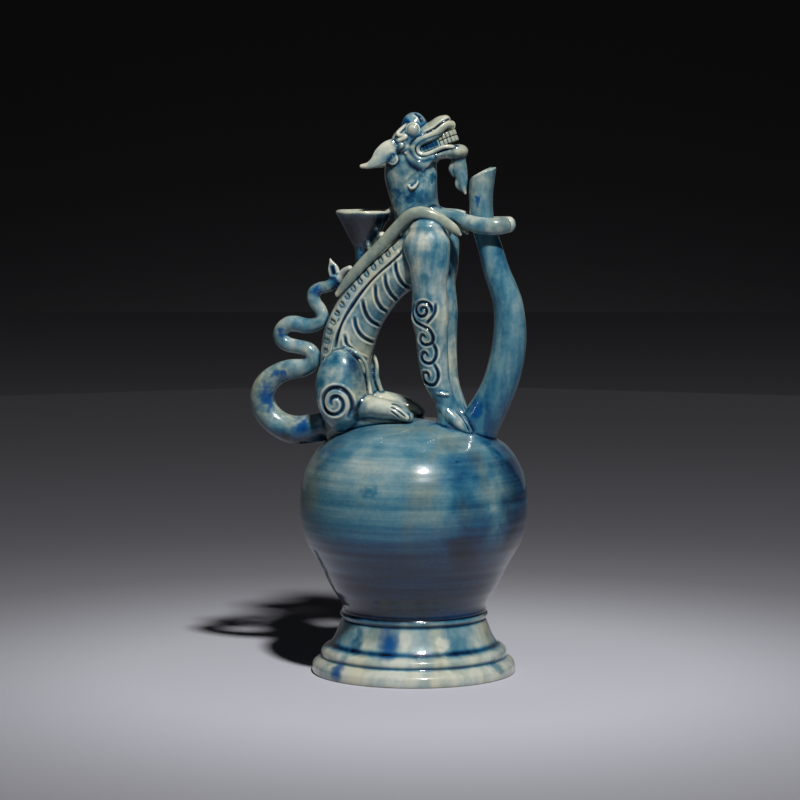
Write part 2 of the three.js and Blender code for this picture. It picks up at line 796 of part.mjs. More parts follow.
// A row of teeth from one level to another. Seen from above it is a band bent round the arch,
// and its outline steps out at each tooth.
function teethRow(bottom, top, grow) {
  const arch = (reach) =>
    new THREE.EllipseCurve(
      ARCH_BACK, 0, ARCH_LENGTH + reach, ARCH_HALF_WIDTH + reach, -Math.PI / 2, Math.PI / 2,
    );
  const inside = arch(-BAND_THICKNESS - grow);
  const gum = arch(grow);
  const face = arch(TOOTH_THICKNESS - BAND_THICKNESS + grow);
  const outline = inside.getSpacedPoints(TEETH).reverse();
  for (let tooth = 0; tooth < TEETH; tooth += 1) {
    const start = (tooth + (1 - TOOTH_FILL_SHARE) / 2) / TEETH;
    const end = (tooth + (1 + TOOTH_FILL_SHARE) / 2) / TEETH;
    outline.push(gum.getPointAt(start), face.getPointAt(start));
    outline.push(face.getPointAt(end), gum.getPointAt(end));
  }
  const depth = top - bottom + 2 * grow;
  const row = new THREE.ExtrudeGeometry(new THREE.Shape(outline), { depth, bevelEnabled: false });
  row.translate(0, 0, bottom - grow);
  row.applyQuaternion(headTurn);
  row.translate(headOrigin.x, headOrigin.y, headOrigin.z);
  return solidOf(row);
}

const BITE_LEVEL = BITE_SHARE * HEAD_LENGTH;
const upperTeeth = (grow) => teethRow(BITE_LEVEL, BITE_LEVEL + UPPER_TOOTH_LENGTH, grow);
const lowerTeeth = (grow) => teethRow(BITE_LEVEL - SEAM - LOWER_TOOTH_LENGTH, BITE_LEVEL - SEAM, grow);

const beardForm = (grow) => limb(headStations(BEARD_SHARES), { rings: 7, sides: 8, grow });

// Pieces

const SIDES = [
  ["left", 1],
  ["right", -1],
];

// The room that each finished form takes from a neighbour, worked out once.
const rooms = {
  globe: globeForm(SEAM),
  trunk: trunkForm(SEAM),
  neck: neckForm(SEAM),
  head: headForm(SEAM),
  jaw: jawForm(SEAM),
  crest: crestForm(SEAM),
  spout: spoutForm(SEAM),
  cup: cupForm(SEAM, false),
  tail: tailForm(SEAM),
  upperTeeth: upperTeeth(SEAM),
};
for (const [name, side] of SIDES) {
  rooms[`foreleg_${name}`] = forelegForm(side, SEAM);
  rooms[`haunch_${name}`] = haunchForm(side, SEAM);
  rooms[`strap_${name}`] = strapForm(side, SEAM);
  rooms[`ridge_${name}`] = ridgeForm(side, SEAM);
  rooms[`ear_${name}`] = earForm(side, SEAM);
  rooms[`eye_${name}`] = eyeForm(side, SEAM);
  rooms[`curl_${name}`] = browCurlForm(side, SEAM);
}

const bothSides = (...names) => names.flatMap((name) => SIDES.map(([side]) => `${name}_${side}`));

// A piece with the rooms of its neighbours cut from it.
const fitted = (piece, neighbours) =>
  largestBody(neighbours.reduce((rest, neighbour) => rest.subtract(rooms[neighbour]), piece));

const group = new THREE.Group();

function add(name, solid, glaze) {
  const fired = new THREE.MeshStandardMaterial({ metalness: 0, ...GLAZES[glaze] });
  const mesh = new THREE.Mesh(geometryOf(solid), fired);
  mesh.name = name;
  group.add(mesh);
}

const trunkHollow = trunkForm(-TRUNK_WALL, 8, 8);
const spoutBore = spoutForm(-SPOUT_WALL, 12, 8);
const globeHollow = globeForm(-GLOBE_WALL, HOLLOW_SIDES);
const cupBore = uprightBore(CUP_BORE_RADIUS, cupFloor, cupAxis.z, cupAxis.x);

add("foot_ring", footRing(), "teal");
const bored = globeForm(0).subtract(globeHollow).subtract(trunkHollow).subtract(spoutBore);
add("globe", largestBody(bored), "teal");
add("trunk", fitted(trunkForm(0).subtract(trunkHollow).subtract(cupBore), ["globe"]), "celadon");
add("neck", fitted(neckForm(0), ["trunk", "head", "jaw"]), "cobalt");
add("head", headForm(0), "celadon");
add("lower_jaw", fitted(jawForm(0), ["head"]), "celadon");
add("upper_teeth", fitted(upperTeeth(0), ["head", "jaw", "neck"]), "ivory");
add("lower_teeth", fitted(lowerTeeth(0), ["head", "jaw", "neck"]), "ivory");
add("crest", fitted(crestForm(0), ["head"]), "cobalt");
add("beard", fitted(beardForm(0), ["jaw", "neck", "spout"]), "teal");
add("spout", fitted(spoutForm(0).subtract(spoutBore).subtract(aboveMouth()), ["globe"]), "cobalt");
add("filling_cup", fitted(cupForm(), ["trunk", "neck", ...bothSides("strap")]), "teal");
add("tail", fitted(tailForm(0), ["globe", "trunk", ...bothSides("haunch", "strap", "ridge")]), "celadon");
add("tail_flame", fitted(flameForm(0), ["tail", ...bothSides("strap")]), "ivory");
for (const [name, side] of SIDES) {
  add(`foreleg_${name}`, fitted(forelegForm(side, 0), ["globe", "trunk", "neck", "spout"]), "celadon");
  add(`haunch_${name}`, fitted(haunchForm(side, 0), ["globe", "trunk"]), "teal");
  add(`hind_foot_${name}`, fitted(hindFootForm(side, 0), ["globe", "trunk", `haunch_${name}`]), "celadon");
  add(`strap_${name}`, fitted(strapForm(side, 0), ["trunk", "neck", `foreleg_${name}`]), "celadon");
  add(
    `clasp_arm_${name}`,
    fitted(claspForm(side, 0), ["trunk", "neck", "spout", `foreleg_${name}`, `strap_${name}`]),
    "teal",
  );
  add(
    `spine_ridge_${name}`,
    fitted(ridgeForm(side, 0), ["trunk", "neck", "cup", ...bothSides("foreleg", "haunch", "strap")]),
    "ivory",
  );
  add(`eye_${name}`, fitted(eyeForm(side, 0), ["head", "crest"]), "ivory");
  add(`ear_${name}`, fitted(earForm(side, 0), ["head", "neck"]), "celadon");
  add(`ear_boss_${name}`, fitted(earBossForm(side, 0), ["head", "neck", `ear_${name}`]), "ivory");
  add(
    `brow_curl_${name}`,
    fitted(browCurlForm(side, 0), ["head", "neck", "crest", `eye_${name}`, `ear_${name}`]),
    "ivory",
  );
  add(
    `cheek_frill_${name}`,
    fitted(frillForm(side, 0), ["head", "jaw", "neck", "upperTeeth", `curl_${name}`]),
    "celadon",
  );
}

// The ewer stands with the middle of its length over the origin.
const middle = new THREE.Box3().setFromObject(group).getCenter(new THREE.Vector3());
group.position.x = -middle.x;

export default group;
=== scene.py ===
"""Looks of the glazed ewer: a thrown globe and foot under one pooled blue glaze, and on them a
seated animal of rolled and pressed clay that holds the spout. Sizes are in millimetres from the
axis of the foot, and turn to the row's metres only when a piece is finished."""

import math

import bmesh
import bpy
import numpy as np
from mathutils import Matrix, Quaternion, Vector
from mathutils.bvhtree import BVHTree


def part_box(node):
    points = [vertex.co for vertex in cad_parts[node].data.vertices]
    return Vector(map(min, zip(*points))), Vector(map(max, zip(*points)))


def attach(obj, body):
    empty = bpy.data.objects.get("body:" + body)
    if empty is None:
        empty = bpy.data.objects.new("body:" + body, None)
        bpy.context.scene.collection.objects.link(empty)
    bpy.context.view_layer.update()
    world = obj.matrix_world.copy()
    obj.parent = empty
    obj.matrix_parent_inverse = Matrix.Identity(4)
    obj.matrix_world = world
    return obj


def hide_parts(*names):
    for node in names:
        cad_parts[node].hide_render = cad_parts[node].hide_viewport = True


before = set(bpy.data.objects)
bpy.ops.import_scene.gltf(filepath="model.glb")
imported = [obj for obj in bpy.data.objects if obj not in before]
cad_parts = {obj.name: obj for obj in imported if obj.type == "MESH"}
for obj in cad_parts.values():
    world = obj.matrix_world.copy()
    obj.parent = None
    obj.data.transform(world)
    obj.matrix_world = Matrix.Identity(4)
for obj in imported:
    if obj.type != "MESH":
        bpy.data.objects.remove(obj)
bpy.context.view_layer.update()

MM = 0.001
foot_low, foot_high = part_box("foot_ring")
POT_AXIS = (foot_low.x + foot_high.x) / 2
# Grain of the pressed clay: the edge of its smallest facet, and a finer one for smaller forms.
GRAIN = 0.45
SMALL_GRAIN, FINE_GRAIN = GRAIN * 0.8, GRAIN * 0.7
# The animal's right side is the near one.
NEAR, FAR = -1, 1

# Camera, at the height of the ewer's head and a little to its right side

CAMERA_TURN = math.radians(12)
CAMERA_TIP = math.radians(5.34)
CAMERA_AWAY = 1.640
CAMERA_ASIDE = -0.0075
CAMERA_HEIGHT = 0.300
LENS, SENSOR = 138.15, 36
SEEN_FROM, SEEN_TO = 0.05, 60


def set_camera():
    eye = bpy.data.cameras.new("eye")
    eye.lens, eye.sensor_width = LENS, SENSOR
    eye.clip_start, eye.clip_end = SEEN_FROM, SEEN_TO
    holder = bpy.data.objects.new("eye", eye)
    back = Vector((math.sin(CAMERA_TURN), -math.cos(CAMERA_TURN), 0))
    right = Vector((math.cos(CAMERA_TURN), math.sin(CAMERA_TURN), 0))
    holder.location = back * CAMERA_AWAY + right * CAMERA_ASIDE
    holder.location += Vector((POT_AXIS, 0, CAMERA_HEIGHT))
    holder.rotation_euler = (math.pi / 2 - CAMERA_TIP, 0, CAMERA_TURN)
    bpy.context.scene.collection.objects.link(holder)
    bpy.context.scene.camera = holder


# Nodes of the materials


def srgb(code):
    """A colour written as sRGB hex, made linear."""
    parts = [int(code[i : i + 2], 16) / 255 for i in (1, 3, 5)]
    return [p / 12.92 if p <= 0.04045 else ((p + 0.055) / 1.055) ** 2.4 for p in parts] + [1]


def node(tree, kind, settings=(), *inputs, **named):
    """A node of that kind, with its inputs in order, or by name or number. One given as a node or
    a socket is linked, and anything else is set."""
    made = tree.nodes.new(kind)
    for name, value in dict(settings).items():
        setattr(made, name, value)
    given = dict(enumerate(inputs))
    for name, value in named.items():
        given[int(name[1:]) if name[1:].isdigit() else name.replace("_", " ")] = value
    for key, value in given.items():
        if isinstance(value, bpy.types.Node):
            value = value.outputs[0]
        if isinstance(value, bpy.types.NodeSocket):
            tree.links.new(value, made.inputs[key])
        else:
            made.inputs[key].default_value = value
    return made


def set_stops(band, stops):
    """Colours written as hex, at places along a colour band."""
    band.interpolation = "B_SPLINE"
    for i, (place, code) in enumerate(stops):
        stop = band.elements[i] if i < 2 else band.elements.new(place)
        stop.position, stop.color = place, srgb(code)


SMOOTH = {"interpolation_type": "SMOOTHSTEP"}
ADD, TIMES, MOST = ({"operation": name} for name in ("ADD", "MULTIPLY", "MAXIMUM"))
TIMES_ADD = {"operation": "MULTIPLY_ADD"}
COLOURS = {"data_type": "RGBA"}

# The glaze's colour at shares of its full thickness, from bare edges to deep pools: where it holds
# more cobalt, and where the iron of the clay turns it olive.
DEPTHS = (0.0, 0.12, 0.26, 0.4, 0.53, 0.65, 0.77, 0.89, 1.0)
COBALT = "#c6c8bb #a4b0ab #79959b #4c7b8a #2a627c #164a6c #0d3153 #081a32 #050b17".split()
OLIVE = "#c8c5af #abae99 #889487 #667c7c #49636c #324c5a #1e3343 #101b28 #070c13".split()
BRIGHT_COBALT = "#0b4683"
BARE_CLAY = "#a89a80"
# A fired glaze is a glassy coat, a little softened, over a colour that is seen through it.
GLASS, GLOSS, DEEP_GLOSS, DEEP_SHINE = 1.5, 0.09, 0.3, 0.2
PEEL_DEEP, DAB_THICK = 0.0006, 0.2
# Noise stays mostly between two values, and a patch fades out over shares of its reach.
MOTTLE_SPAN, RAGGED_SPAN, FADE_SPAN = (0.28, 0.72), (0.3, 0.7), (0.2, 1.3)
MOTTLE_WARP, NOISE_ROUGH = 0.3, 0.55


class Glaze:
    """A clear cobalt glaze on pale clay, built up as layers that make it thicker or thinner."""

    def __init__(self, name, depth):
        self.material = bpy.data.materials.new(name)
        self.material.use_nodes = True
        self.tree = self.material.node_tree
        self.tree.nodes.clear()
        self.place = node(self.tree, "ShaderNodeTexCoord").outputs["Object"]
        self.height = node(self.tree, "ShaderNodeSeparateXYZ", (), self.place).outputs["Z"]
        self.thickness = depth
        self.bright = 0.0

    def noise(self, size, detail=3.0, stretch=(1, 1, 1), shift=0.0, warp=0.0):
        """Noise whose lumps are that many millimetres across."""
        tree, shift = self.tree, (shift, shift, 0)
        at = node(tree, "ShaderNodeMapping", Vector=self.place, Scale=stretch, Location=shift)
        return node(
            tree, "ShaderNodeTexNoise", Vector=at, Scale=1 / (size * MM), Detail=detail,
            Roughness=NOISE_ROUGH, Distortion=warp,
        )

    def layer(self, value, share=1.0):
        """That share of the value, laid on the thickness."""
        self.thickness = node(self.tree, "ShaderNodeMath", TIMES_ADD, value, share, self.thickness)
        return self

    def mottle(self, share, size, stretch=(1, 1, 1), shift=0.0, detail=2.5):
        """Thicker and thinner blotches, by that share of the thickness each way."""
        noise = self.noise(size, detail, stretch, shift, MOTTLE_WARP)
        ends = (*MOTTLE_SPAN, -share, share)
        return self.layer(node(self.tree, "ShaderNodeMapRange", SMOOTH, noise, *ends))

    def attribute(self, name, share):
        """Thicker or thinner by a value that the piece's mesh carries."""
        made = node(self.tree, "ShaderNodeAttribute", {"attribute_name": name})
        return self.layer(made.outputs["Fac"], share)

    def slope(self, low, high, change):
        """A change of thickness below the first height that ends at the second."""
        ends = (low * MM, high * MM, change, 0.0)
        return self.layer(node(self.tree, "ShaderNodeMapRange", SMOOTH, self.height, *ends))

    def near(self, at, reach, ragged):
        """1 at a place in millimetres, falling to 0 at a ragged edge about that far away."""
        tree, scale = self.tree, [1 / (r * MM) for r in reach]
        off = node(tree, "ShaderNodeVectorMath", {"operation": "SUBTRACT"}, self.place, row_place(at))
        scaled = node(tree, "ShaderNodeVectorMath", TIMES, off, scale)
        far = node(tree, "ShaderNodeVectorMath", {"operation": "LENGTH"}, scaled).outputs["Value"]
        noise = self.noise(max(min(reach), 3), 1, shift=0.9)
        edge = node(tree, "ShaderNodeMapRange", SMOOTH, noise, *RAGGED_SPAN, -ragged, ragged)
        far = node(tree, "ShaderNodeMath", ADD, far, edge)
        return node(tree, "ShaderNodeMapRange", SMOOTH, far, *FADE_SPAN, 1.0, 0.0)

    def patch(self, at, reach, change, ragged=0.3):
        """A patch where the glaze is thicker or thinner."""
        return self.layer(self.near(at, reach, ragged), change)

    def patches(self, rows, ragged=0.3):
        """Patches given as rows of place, reach and change."""
        for at, reach, change in rows:
            self.patch(at, reach, change, ragged)
        return self

    def dab(self, at, reach, ragged=0.2):
        """A dab of strong cobalt, that lies thick and bleeds to a bright blue."""
        here = self.near(at, reach, ragged)
        self.bright = node(self.tree, "ShaderNodeMath", MOST, here, self.bright)
        return self.layer(here, DAB_THICK)

    def fired(self, iron=0.45, cobalt=0.25, peel=0.18, bare=None):
        """The colours by thickness, and the gloss and orange peel of a fired glaze."""
        tree, hues = self.tree, []
        for codes in (COBALT, OLIVE):
            hues.append(node(tree, "ShaderNodeValToRGB", (), self.thickness))
            set_stops(hues[-1].color_ramp, zip(DEPTHS, codes))
        noise, start = self.noise(24, 3, (1, 1, 0.6), 0.5), 0.6 - 0.3 * iron
        olive = node(tree, "ShaderNodeMapRange", SMOOTH, noise, start, start + 0.25, 0, 1)
        colour = node(tree, "ShaderNodeMix", COLOURS, olive, _6=hues[0], _7=hues[1]).outputs[2]
        # Here and there the cobalt is strong enough to bleed to a bright blue.
        noise, start = self.noise(14, 2, shift=1.7), 0.76 - 0.3 * cobalt
        grains = node(tree, "ShaderNodeMapRange", SMOOTH, noise, start, start + 0.18, 0, 0.9)
        thick = node(tree, "ShaderNodeMapRange", SMOOTH, self.thickness, 0.3, 0.55, 0, 1)
        grains = node(tree, "ShaderNodeMath", TIMES, grains, thick)
        grains = node(tree, "ShaderNodeMath", MOST, grains, self.bright)
        shallow = node(tree, "ShaderNodeMapRange", SMOOTH, self.thickness, 0.75, 0.98, 0.85, 0)
        grains = node(tree, "ShaderNodeMath", TIMES, grains, shallow)
        colour = node(tree, "ShaderNodeMix", COLOURS, grains, _6=colour, _7=srgb(BRIGHT_COBALT)).outputs[2]
        if bare is not None:
            edge = node(tree, "ShaderNodeMath", TIMES_ADD, self.noise(9), 2 * MM, self.height)
            ends = ((bare + 0.7) * MM, (bare + 1.3) * MM, 1, 0)
            share = node(tree, "ShaderNodeMapRange", SMOOTH, edge, *ends)
            colour = node(tree, "ShaderNodeMix", COLOURS, share, _6=colour, _7=srgb(BARE_CLAY)).outputs[2]
        fine, coarse = self.noise(1.6, 2, shift=0.2), self.noise(6, 2, shift=0.4)
        height = node(tree, "ShaderNodeMath", TIMES_ADD, fine, 0.3, coarse)
        bump = node(tree, "ShaderNodeBump", Strength=peel, Distance=PEEL_DEEP, Height=height)
        shader = node(
            tree, "ShaderNodeBsdfPrincipled", Base_Color=colour, Roughness=DEEP_GLOSS, IOR=GLASS,
            Specular_IOR_Level=DEEP_SHINE, Coat_Weight=1.0, Coat_Roughness=GLOSS, Coat_IOR=GLASS,
            Normal=bump, Coat_Normal=bump,
        )
        node(tree, "ShaderNodeOutputMaterial", Surface=shader)
        return self.material


def brushed(name, depth, blotches=0.13, runs=0.07):
    """Glaze brushed on a hand-modelled piece: softly blotched, and run down a little."""
    glaze = Glaze(name, depth).mottle(blotches, 12).mottle(0.4 * blotches, 4.5, shift=0.7)
    return glaze.mottle(0.025, 1.8, shift=1.3).mottle(runs, 6, (1, 1, 0.2), 0.3)


def fired(glaze, edge=0.4, pool=0.62, **how):
    """The glaze thinned on edges and pooled in hollows, with painted light on tops and painted shade on
    undersides, then fired.
    """
    return glaze.attribute("pool", pool).attribute("thin_and_lit", -edge).fired(**how)


# Clay


def row_place(at):
    """A place in millimetres from the foot's axis, in the row's frame."""
    return (at[0] * MM + POT_AXIS, at[1] * MM, at[2] * MM)


def smooth_line(rows, steps):
    """Rows on a smooth curve through the given rows, so many to each gap."""
    given = np.array(rows, float)
    given = np.vstack([2 * given[0] - given[1], given, 2 * given[-1] - given[-2]])
    curve = []
    for a, b, c, d in zip(given, given[1:], given[2:], given[3:]):
        for t in np.arange(steps) / steps:
            bend = (2 * a - 5 * b + 4 * c - d) * t * t + (3 * b - a - 3 * c + d) * t**3
            curve.append(b + 0.5 * ((c - a) * t + bend))
    return np.array([*curve, given[-2]])


def run_along(steps):
    """How far along a line each of its points is, from the lengths of its steps."""
    return np.concatenate([[0], np.cumsum(steps)])


def bell(away, width):
    """1 on a line, falling off smoothly on both sides of it."""
    return np.exp(-((away / width) ** 2))


def section(at, tangent, depth, width):
    """Where a unit circle goes to be an oval section: its width lies across the animal."""
    tangent = Vector(tangent).normalized()
    across = (Vector((0, 1, 0)) - tangent * tangent.y).normalized()
    out = tangent.cross(across)
    turn = Matrix((out, across, tangent)).transposed().to_4x4()
    return Matrix.Translation(at) @ turn @ Matrix.Diagonal((depth, width, 1, 1))


def drawn_out(bm, edges):
    """A loop of edges doubled, to be moved on: its new points and edges."""
    grown = bmesh.ops.extrude_edge_only(bm, edges=edges)["geom"]
    return [[g for g in grown if isinstance(g, kind)] for kind in (bmesh.types.BMVert, bmesh.types.BMEdge)]


THINNEST = 0.15
DOME_TURNS = np.radians([22, 45, 66, 82])


def roll(rows, sides=20, steps=4):
    """A roll of clay with rounded ends. A row is x, y, z, half depth and half width."""
    line = smooth_line(rows, steps)
    line[:, 3:] = np.maximum(line[:, 3:], THINNEST)
    tangents = np.gradient(line[:, :3], axis=0)
    domes = []
    for row, tangent, way in ((line[0], tangents[0], -1), (line[-1], tangents[-1], 1)):
        tangent = tangent / np.linalg.norm(tangent)
        reach = way * min(row[3], row[4])
        domes.append([
            section(row[:3] + tangent * reach * math.sin(a), tangent, *(row[3:] * math.cos(a)))
            for a in DOME_TURNS
        ])
    body = [section(row[:3], tangent, *row[3:]) for row, tangent in zip(line, tangents)]
    sections = domes[0][::-1] + body + domes[1]
    bm = bmesh.new()
    verts = bmesh.ops.create_circle(bm, segments=sides, radius=1)["verts"]
    bmesh.ops.transform(bm, matrix=sections[0], verts=verts)
    edges = bm.edges[:]
    bmesh.ops.edgeloop_fill(bm, edges=edges)
    for before, after in zip(sections, sections[1:]):
        verts, edges = drawn_out(bm, edges)
        bmesh.ops.transform(bm, matrix=after @ before.inverted(), verts=verts)
    bmesh.ops.edgeloop_fill(bm, edges=edges)
    bmesh.ops.recalc_face_normals(bm, faces=bm.faces)
    return bm


def lump(at, halves, tip=0.0):
    """An egg of clay with those half sizes, tipped up in the plane of the animal."""
    bm = bmesh.new()
    bmesh.ops.create_icosphere(bm, subdivisions=4, radius=1)
    lean = Quaternion((0, -1, 0), tip).to_matrix().to_4x4()
    matrix = Matrix.Translation(at) @ lean @ Matrix.Diagonal((*halves, 1))
    bmesh.ops.transform(bm, matrix=matrix, verts=bm.verts)
    return bm


def corner_key(made):
    """A number for an edge or face, by its first and last point."""
    corners = [corner.index for corner in made.verts]
    return min(corners) * 1e6 + max(corners)


def spun(bm, geom, sides):
    """An outline spun once round the upright axis."""
    upright, centre = (0, 0, 1), (0, 0, 0)
    bmesh.ops.spin(bm, geom=geom, axis=upright, cent=centre, angle=math.tau, steps=sides, use_merge=True)
    # A spin leaves its edges and faces in an order that changes from run to run.
    bm.verts.index_update()
    for made in (bm.edges, bm.faces):
        made.sort(key=corner_key)


def turned(outline, sides, steps=6, axis=0.0):
    """A thrown form: an outline of radius and height, smoothed and spun about an upright axis."""
    bm = bmesh.new()
    line = smooth_line(outline, steps)
    verts = [bm.verts.new((max(radius, 0), 0, height)) for radius, height in line]
    spun(bm, verts + [bm.edges.new(pair) for pair in zip(verts, verts[1:])], sides)
    bmesh.ops.remove_doubles(bm, verts=bm.verts, dist=0.01)
    bmesh.ops.recalc_face_normals(bm, faces=bm.faces)
    bmesh.ops.translate(bm, vec=(axis, 0, 0), verts=bm.verts)
    return bm


SIDEWAYS = Matrix.Rotation(math.pi / 2, 3, "X")
RING_SIDES = 24


def ring(at, radius, thick, facing=SIDEWAYS):
    """A thin roll bent to a ring, and turned from facing up to the way that it faces."""
    bm = bmesh.new()
    across = bmesh.ops.create_circle(bm, segments=10, radius=thick)["verts"]
    bmesh.ops.rotate(bm, verts=across, cent=(0, 0, 0), matrix=SIDEWAYS)
    bmesh.ops.translate(bm, vec=(radius, 0, 0), verts=across)
    spun(bm, bm.verts[:] + bm.edges[:], RING_SIDES)
    bmesh.ops.rotate(bm, verts=bm.verts, cent=(0, 0, 0), matrix=facing)
    bmesh.ops.translate(bm, vec=at, verts=bm.verts)
    bmesh.ops.recalc_face_normals(bm, faces=bm.faces)
    return bm


def as_mesh(forms):
    """The forms as one mesh."""
    whole = bmesh.new()
    for form in forms:
        part = bpy.data.meshes.new("form")
        form.to_mesh(part)
        form.free()
        whole.from_mesh(part)
        bpy.data.meshes.remove(part)
    mesh = bpy.data.meshes.new("clay")
    whole.to_mesh(mesh)
    whole.free()
    return mesh


def pressed(forms, grain=GRAIN):
    """The forms pressed into one lump: remeshed to the grain."""
    holder = bpy.data.objects.new("press", as_mesh(forms))
    bpy.context.scene.collection.objects.link(holder)
    remesh = holder.modifiers.new("press", "REMESH")
    remesh.mode, remesh.voxel_size = "VOXEL", grain
    mesh = bpy.data.meshes.new_from_object(
        holder.evaluated_get(bpy.context.evaluated_depsgraph_get())
    )
    bpy.data.objects.remove(holder)
    return mesh


# Toes are parted by three cuts of one pitch, depth and width, that fade in over a short way.
TOE_CUTS, TOE_PITCH, TOE_DEEP, TOE_WIDE, TOE_FADE = 3, 3.2, 0.7, 0.4, 3.5
# How strongly a form curves before its glaze runs off or gathers, and over how much it changes.
SHARP_FROM, SHARP_OVER, SUNK_FROM, SUNK_OVER = 0.14, 0.62, 0.03, 0.35
# Waves in the unevenness of a form.
WAVES = 7


class Clay:
    """One piece: its mesh in millimetres, and where its glaze pools or is thin, with painted shade where
    it faces down and painted light where it faces up.
    """

    def __init__(self, name, mesh, nodes, slot, glazed):
        self.name, self.mesh, self.nodes, self.slot, self.glazed = name, mesh, nodes, slot, glazed
        count = len(mesh.vertices)
        self.at = np.empty(count * 3, np.float32)
        mesh.vertices.foreach_get("co", self.at)
        self.at = self.at.reshape(-1, 3).astype(float)
        pairs = np.empty(len(mesh.edges) * 2, np.int32)
        mesh.edges.foreach_get("vertices", pairs)
        self.pairs = pairs.reshape(-1, 2)
        self.links = np.maximum(np.bincount(pairs, minlength=count), 1)
        self.pool, self.thin_and_lit = np.zeros(count), np.zeros(count)
        self.out = self.facing()

    def facing(self):
        """Each point's outward direction, worked out again."""
        self.mesh.vertices.foreach_set("co", self.at.astype(np.float32).ravel())
        self.mesh.update()
        out = np.empty(len(self.at) * 3, np.float32)
        self.mesh.vertex_normals.foreach_get("vector", out)
        return out.reshape(-1, 3).astype(float)

    def around(self, values):
        """The mean of each point's neighbours."""
        first, second = self.pairs.T
        values, count = values.reshape(len(self.at), -1), len(self.at)
        total = [
            np.bincount(first, column[second], count) + np.bincount(second, column[first], count)
            for column in values.T
        ]
        return (np.stack(total, axis=1) / self.links[:, None]).squeeze()

    def eased(self, values, rounds):
        """The values evened out between neighbours."""
        for _ in range(rounds):
            values = (values + self.around(values)) / 2
        return values

    def smooth(self, rounds):
        """Wiped with a wet finger."""
        self.at = self.eased(self.at, rounds)
        self.out = self.facing()
        return self

    def push(self, amount):
        """Each point moved outwards."""
        self.at += self.out * amount[:, None]
        self.out = self.facing()
        return self

    def gather(self, share):
        """Glaze gathered by that share, where there isn't more already."""
        self.pool = np.maximum(self.pool, np.clip(share, 0, 1))

    def wobble(self, amount, size, seed):
        """Unevenness of a hand-made form: slow waves in a few directions."""
        draw = np.random.default_rng(seed)
        way = draw.normal(size=(WAVES, 3))
        way *= (math.tau / size) / np.linalg.norm(way, axis=1)[:, None]
        way *= draw.uniform(0.6, 1.5, (WAVES, 1))
        waves = np.sin(self.at @ way.T + draw.uniform(0, math.tau, WAVES))
        return self.push(waves.mean(axis=1) * amount)

    def incise(self, strokes, width, depth, lip, both=False):
        """Strokes cut with a pointed tool from the near side, or from both, given as places along
        and up. The glaze fills the cut and thins on the burr that the tool pushes up beside it."""
        flat = self.at[:, [0, 2]]
        faced = np.abs(self.out[:, 1]) if both else self.out[:, 1] * NEAR
        open_to = np.clip((faced - 0.1) / 0.3, 0, 1)
        cut, burr = np.zeros(len(flat)), np.zeros(len(flat))
        for stroke in strokes:
            line = smooth_line(stroke, 6)
            near = (flat > line.min(0) - 5).all(1) & (flat < line.max(0) + 5).all(1) & (open_to > 0)
            if not near.any():
                continue
            away, share = distance_to(flat[near], line)
            ends = np.clip(np.minimum(share, 1 - share) * 9 + 0.3, 0, 1)
            here = ends * open_to[near]
            cut[near] = np.maximum(cut[near], bell(away, width) * here)
            burr[near] = np.maximum(burr[near], bell(away - 2.1 * width, 0.9 * width) * here)
        self.gather(cut * 1.3)
        self.thin_and_lit = np.maximum(self.thin_and_lit, burr * (1 - cut) * 0.9)
        return self.push(lip * burr * (1 - cut) - depth * cut)

    def part_toes(self, start, middle):
        """Cuts along a paw from above and in front, that part its toes from a place on."""
        on, side = self.at[:, 0] - start, self.at[:, 1]
        cut = np.zeros(len(self.at))
        for k in range(TOE_CUTS):
            line = middle + (k - (TOE_CUTS - 1) / 2) * TOE_PITCH * (1 + 0.012 * on)
            cut = np.maximum(cut, bell(side - line, TOE_WIDE) * np.clip(on / TOE_FADE, 0, 1))
        self.gather(cut * 1.3)
        return self.push(-TOE_DEEP * cut)

    def weather(self):
        """The glaze runs off sharp forms and gathers in hollow ones, by how they curve."""
        apart = self.at[self.pairs[:, 0]] - self.at[self.pairs[:, 1]]
        square = (apart**2).sum(1)
        span = np.bincount(self.pairs.ravel(), np.repeat(square, 2), len(self.at)) / self.links
        bend = ((self.at - self.around(self.at)) * self.out).sum(1) / np.maximum(span, 1e-6) * 2
        bend = self.eased(np.clip(bend, -3, 3), 5)
        sharp = np.clip((bend - SHARP_FROM) / SHARP_OVER, 0, 1)
        sunk = np.clip((-bend - SUNK_FROM) / SUNK_OVER, 0, 1)
        # It is also made thinner where the form faces up and thicker where it faces down: painted light on
        # tops and painted shade on undersides.
        up = self.out[:, 2]
        self.thin_and_lit = np.maximum(self.thin_and_lit, self.eased(sharp, 2)) + 0.2 * np.clip(up, 0, 1)
        self.pool = np.maximum(self.pool, self.eased(sunk, 3)) + 0.2 * np.clip(-up, 0, 1)
        self.pool = np.clip(self.pool, 0, 1)
        self.thin_and_lit = np.clip(self.thin_and_lit, 0, 1) * (1 - 0.6 * self.pool)

    def finish(self):
        """The piece as an object in the row's frame, riding on the body and standing for its nodes."""
        self.facing()
        for name, values in (("pool", self.pool), ("thin_and_lit", self.thin_and_lit)):
            layer = self.mesh.attributes.new(name, "FLOAT", "POINT")
            layer.data.foreach_set("value", values.astype(np.float32))
        self.mesh.transform(Matrix.Translation((POT_AXIS, 0, 0)) @ Matrix.Scale(MM, 4))
        self.mesh.polygons.foreach_set("use_smooth", [True] * len(self.mesh.polygons))
        self.mesh.materials.clear()
        self.mesh.materials.append(self.glazed)
        self.mesh.name = self.name
        done = bpy.data.objects.new(self.name, self.mesh)
        bpy.context.scene.collection.objects.link(done)
        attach(done, "root")
        if self.nodes:
            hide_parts(*self.nodes)


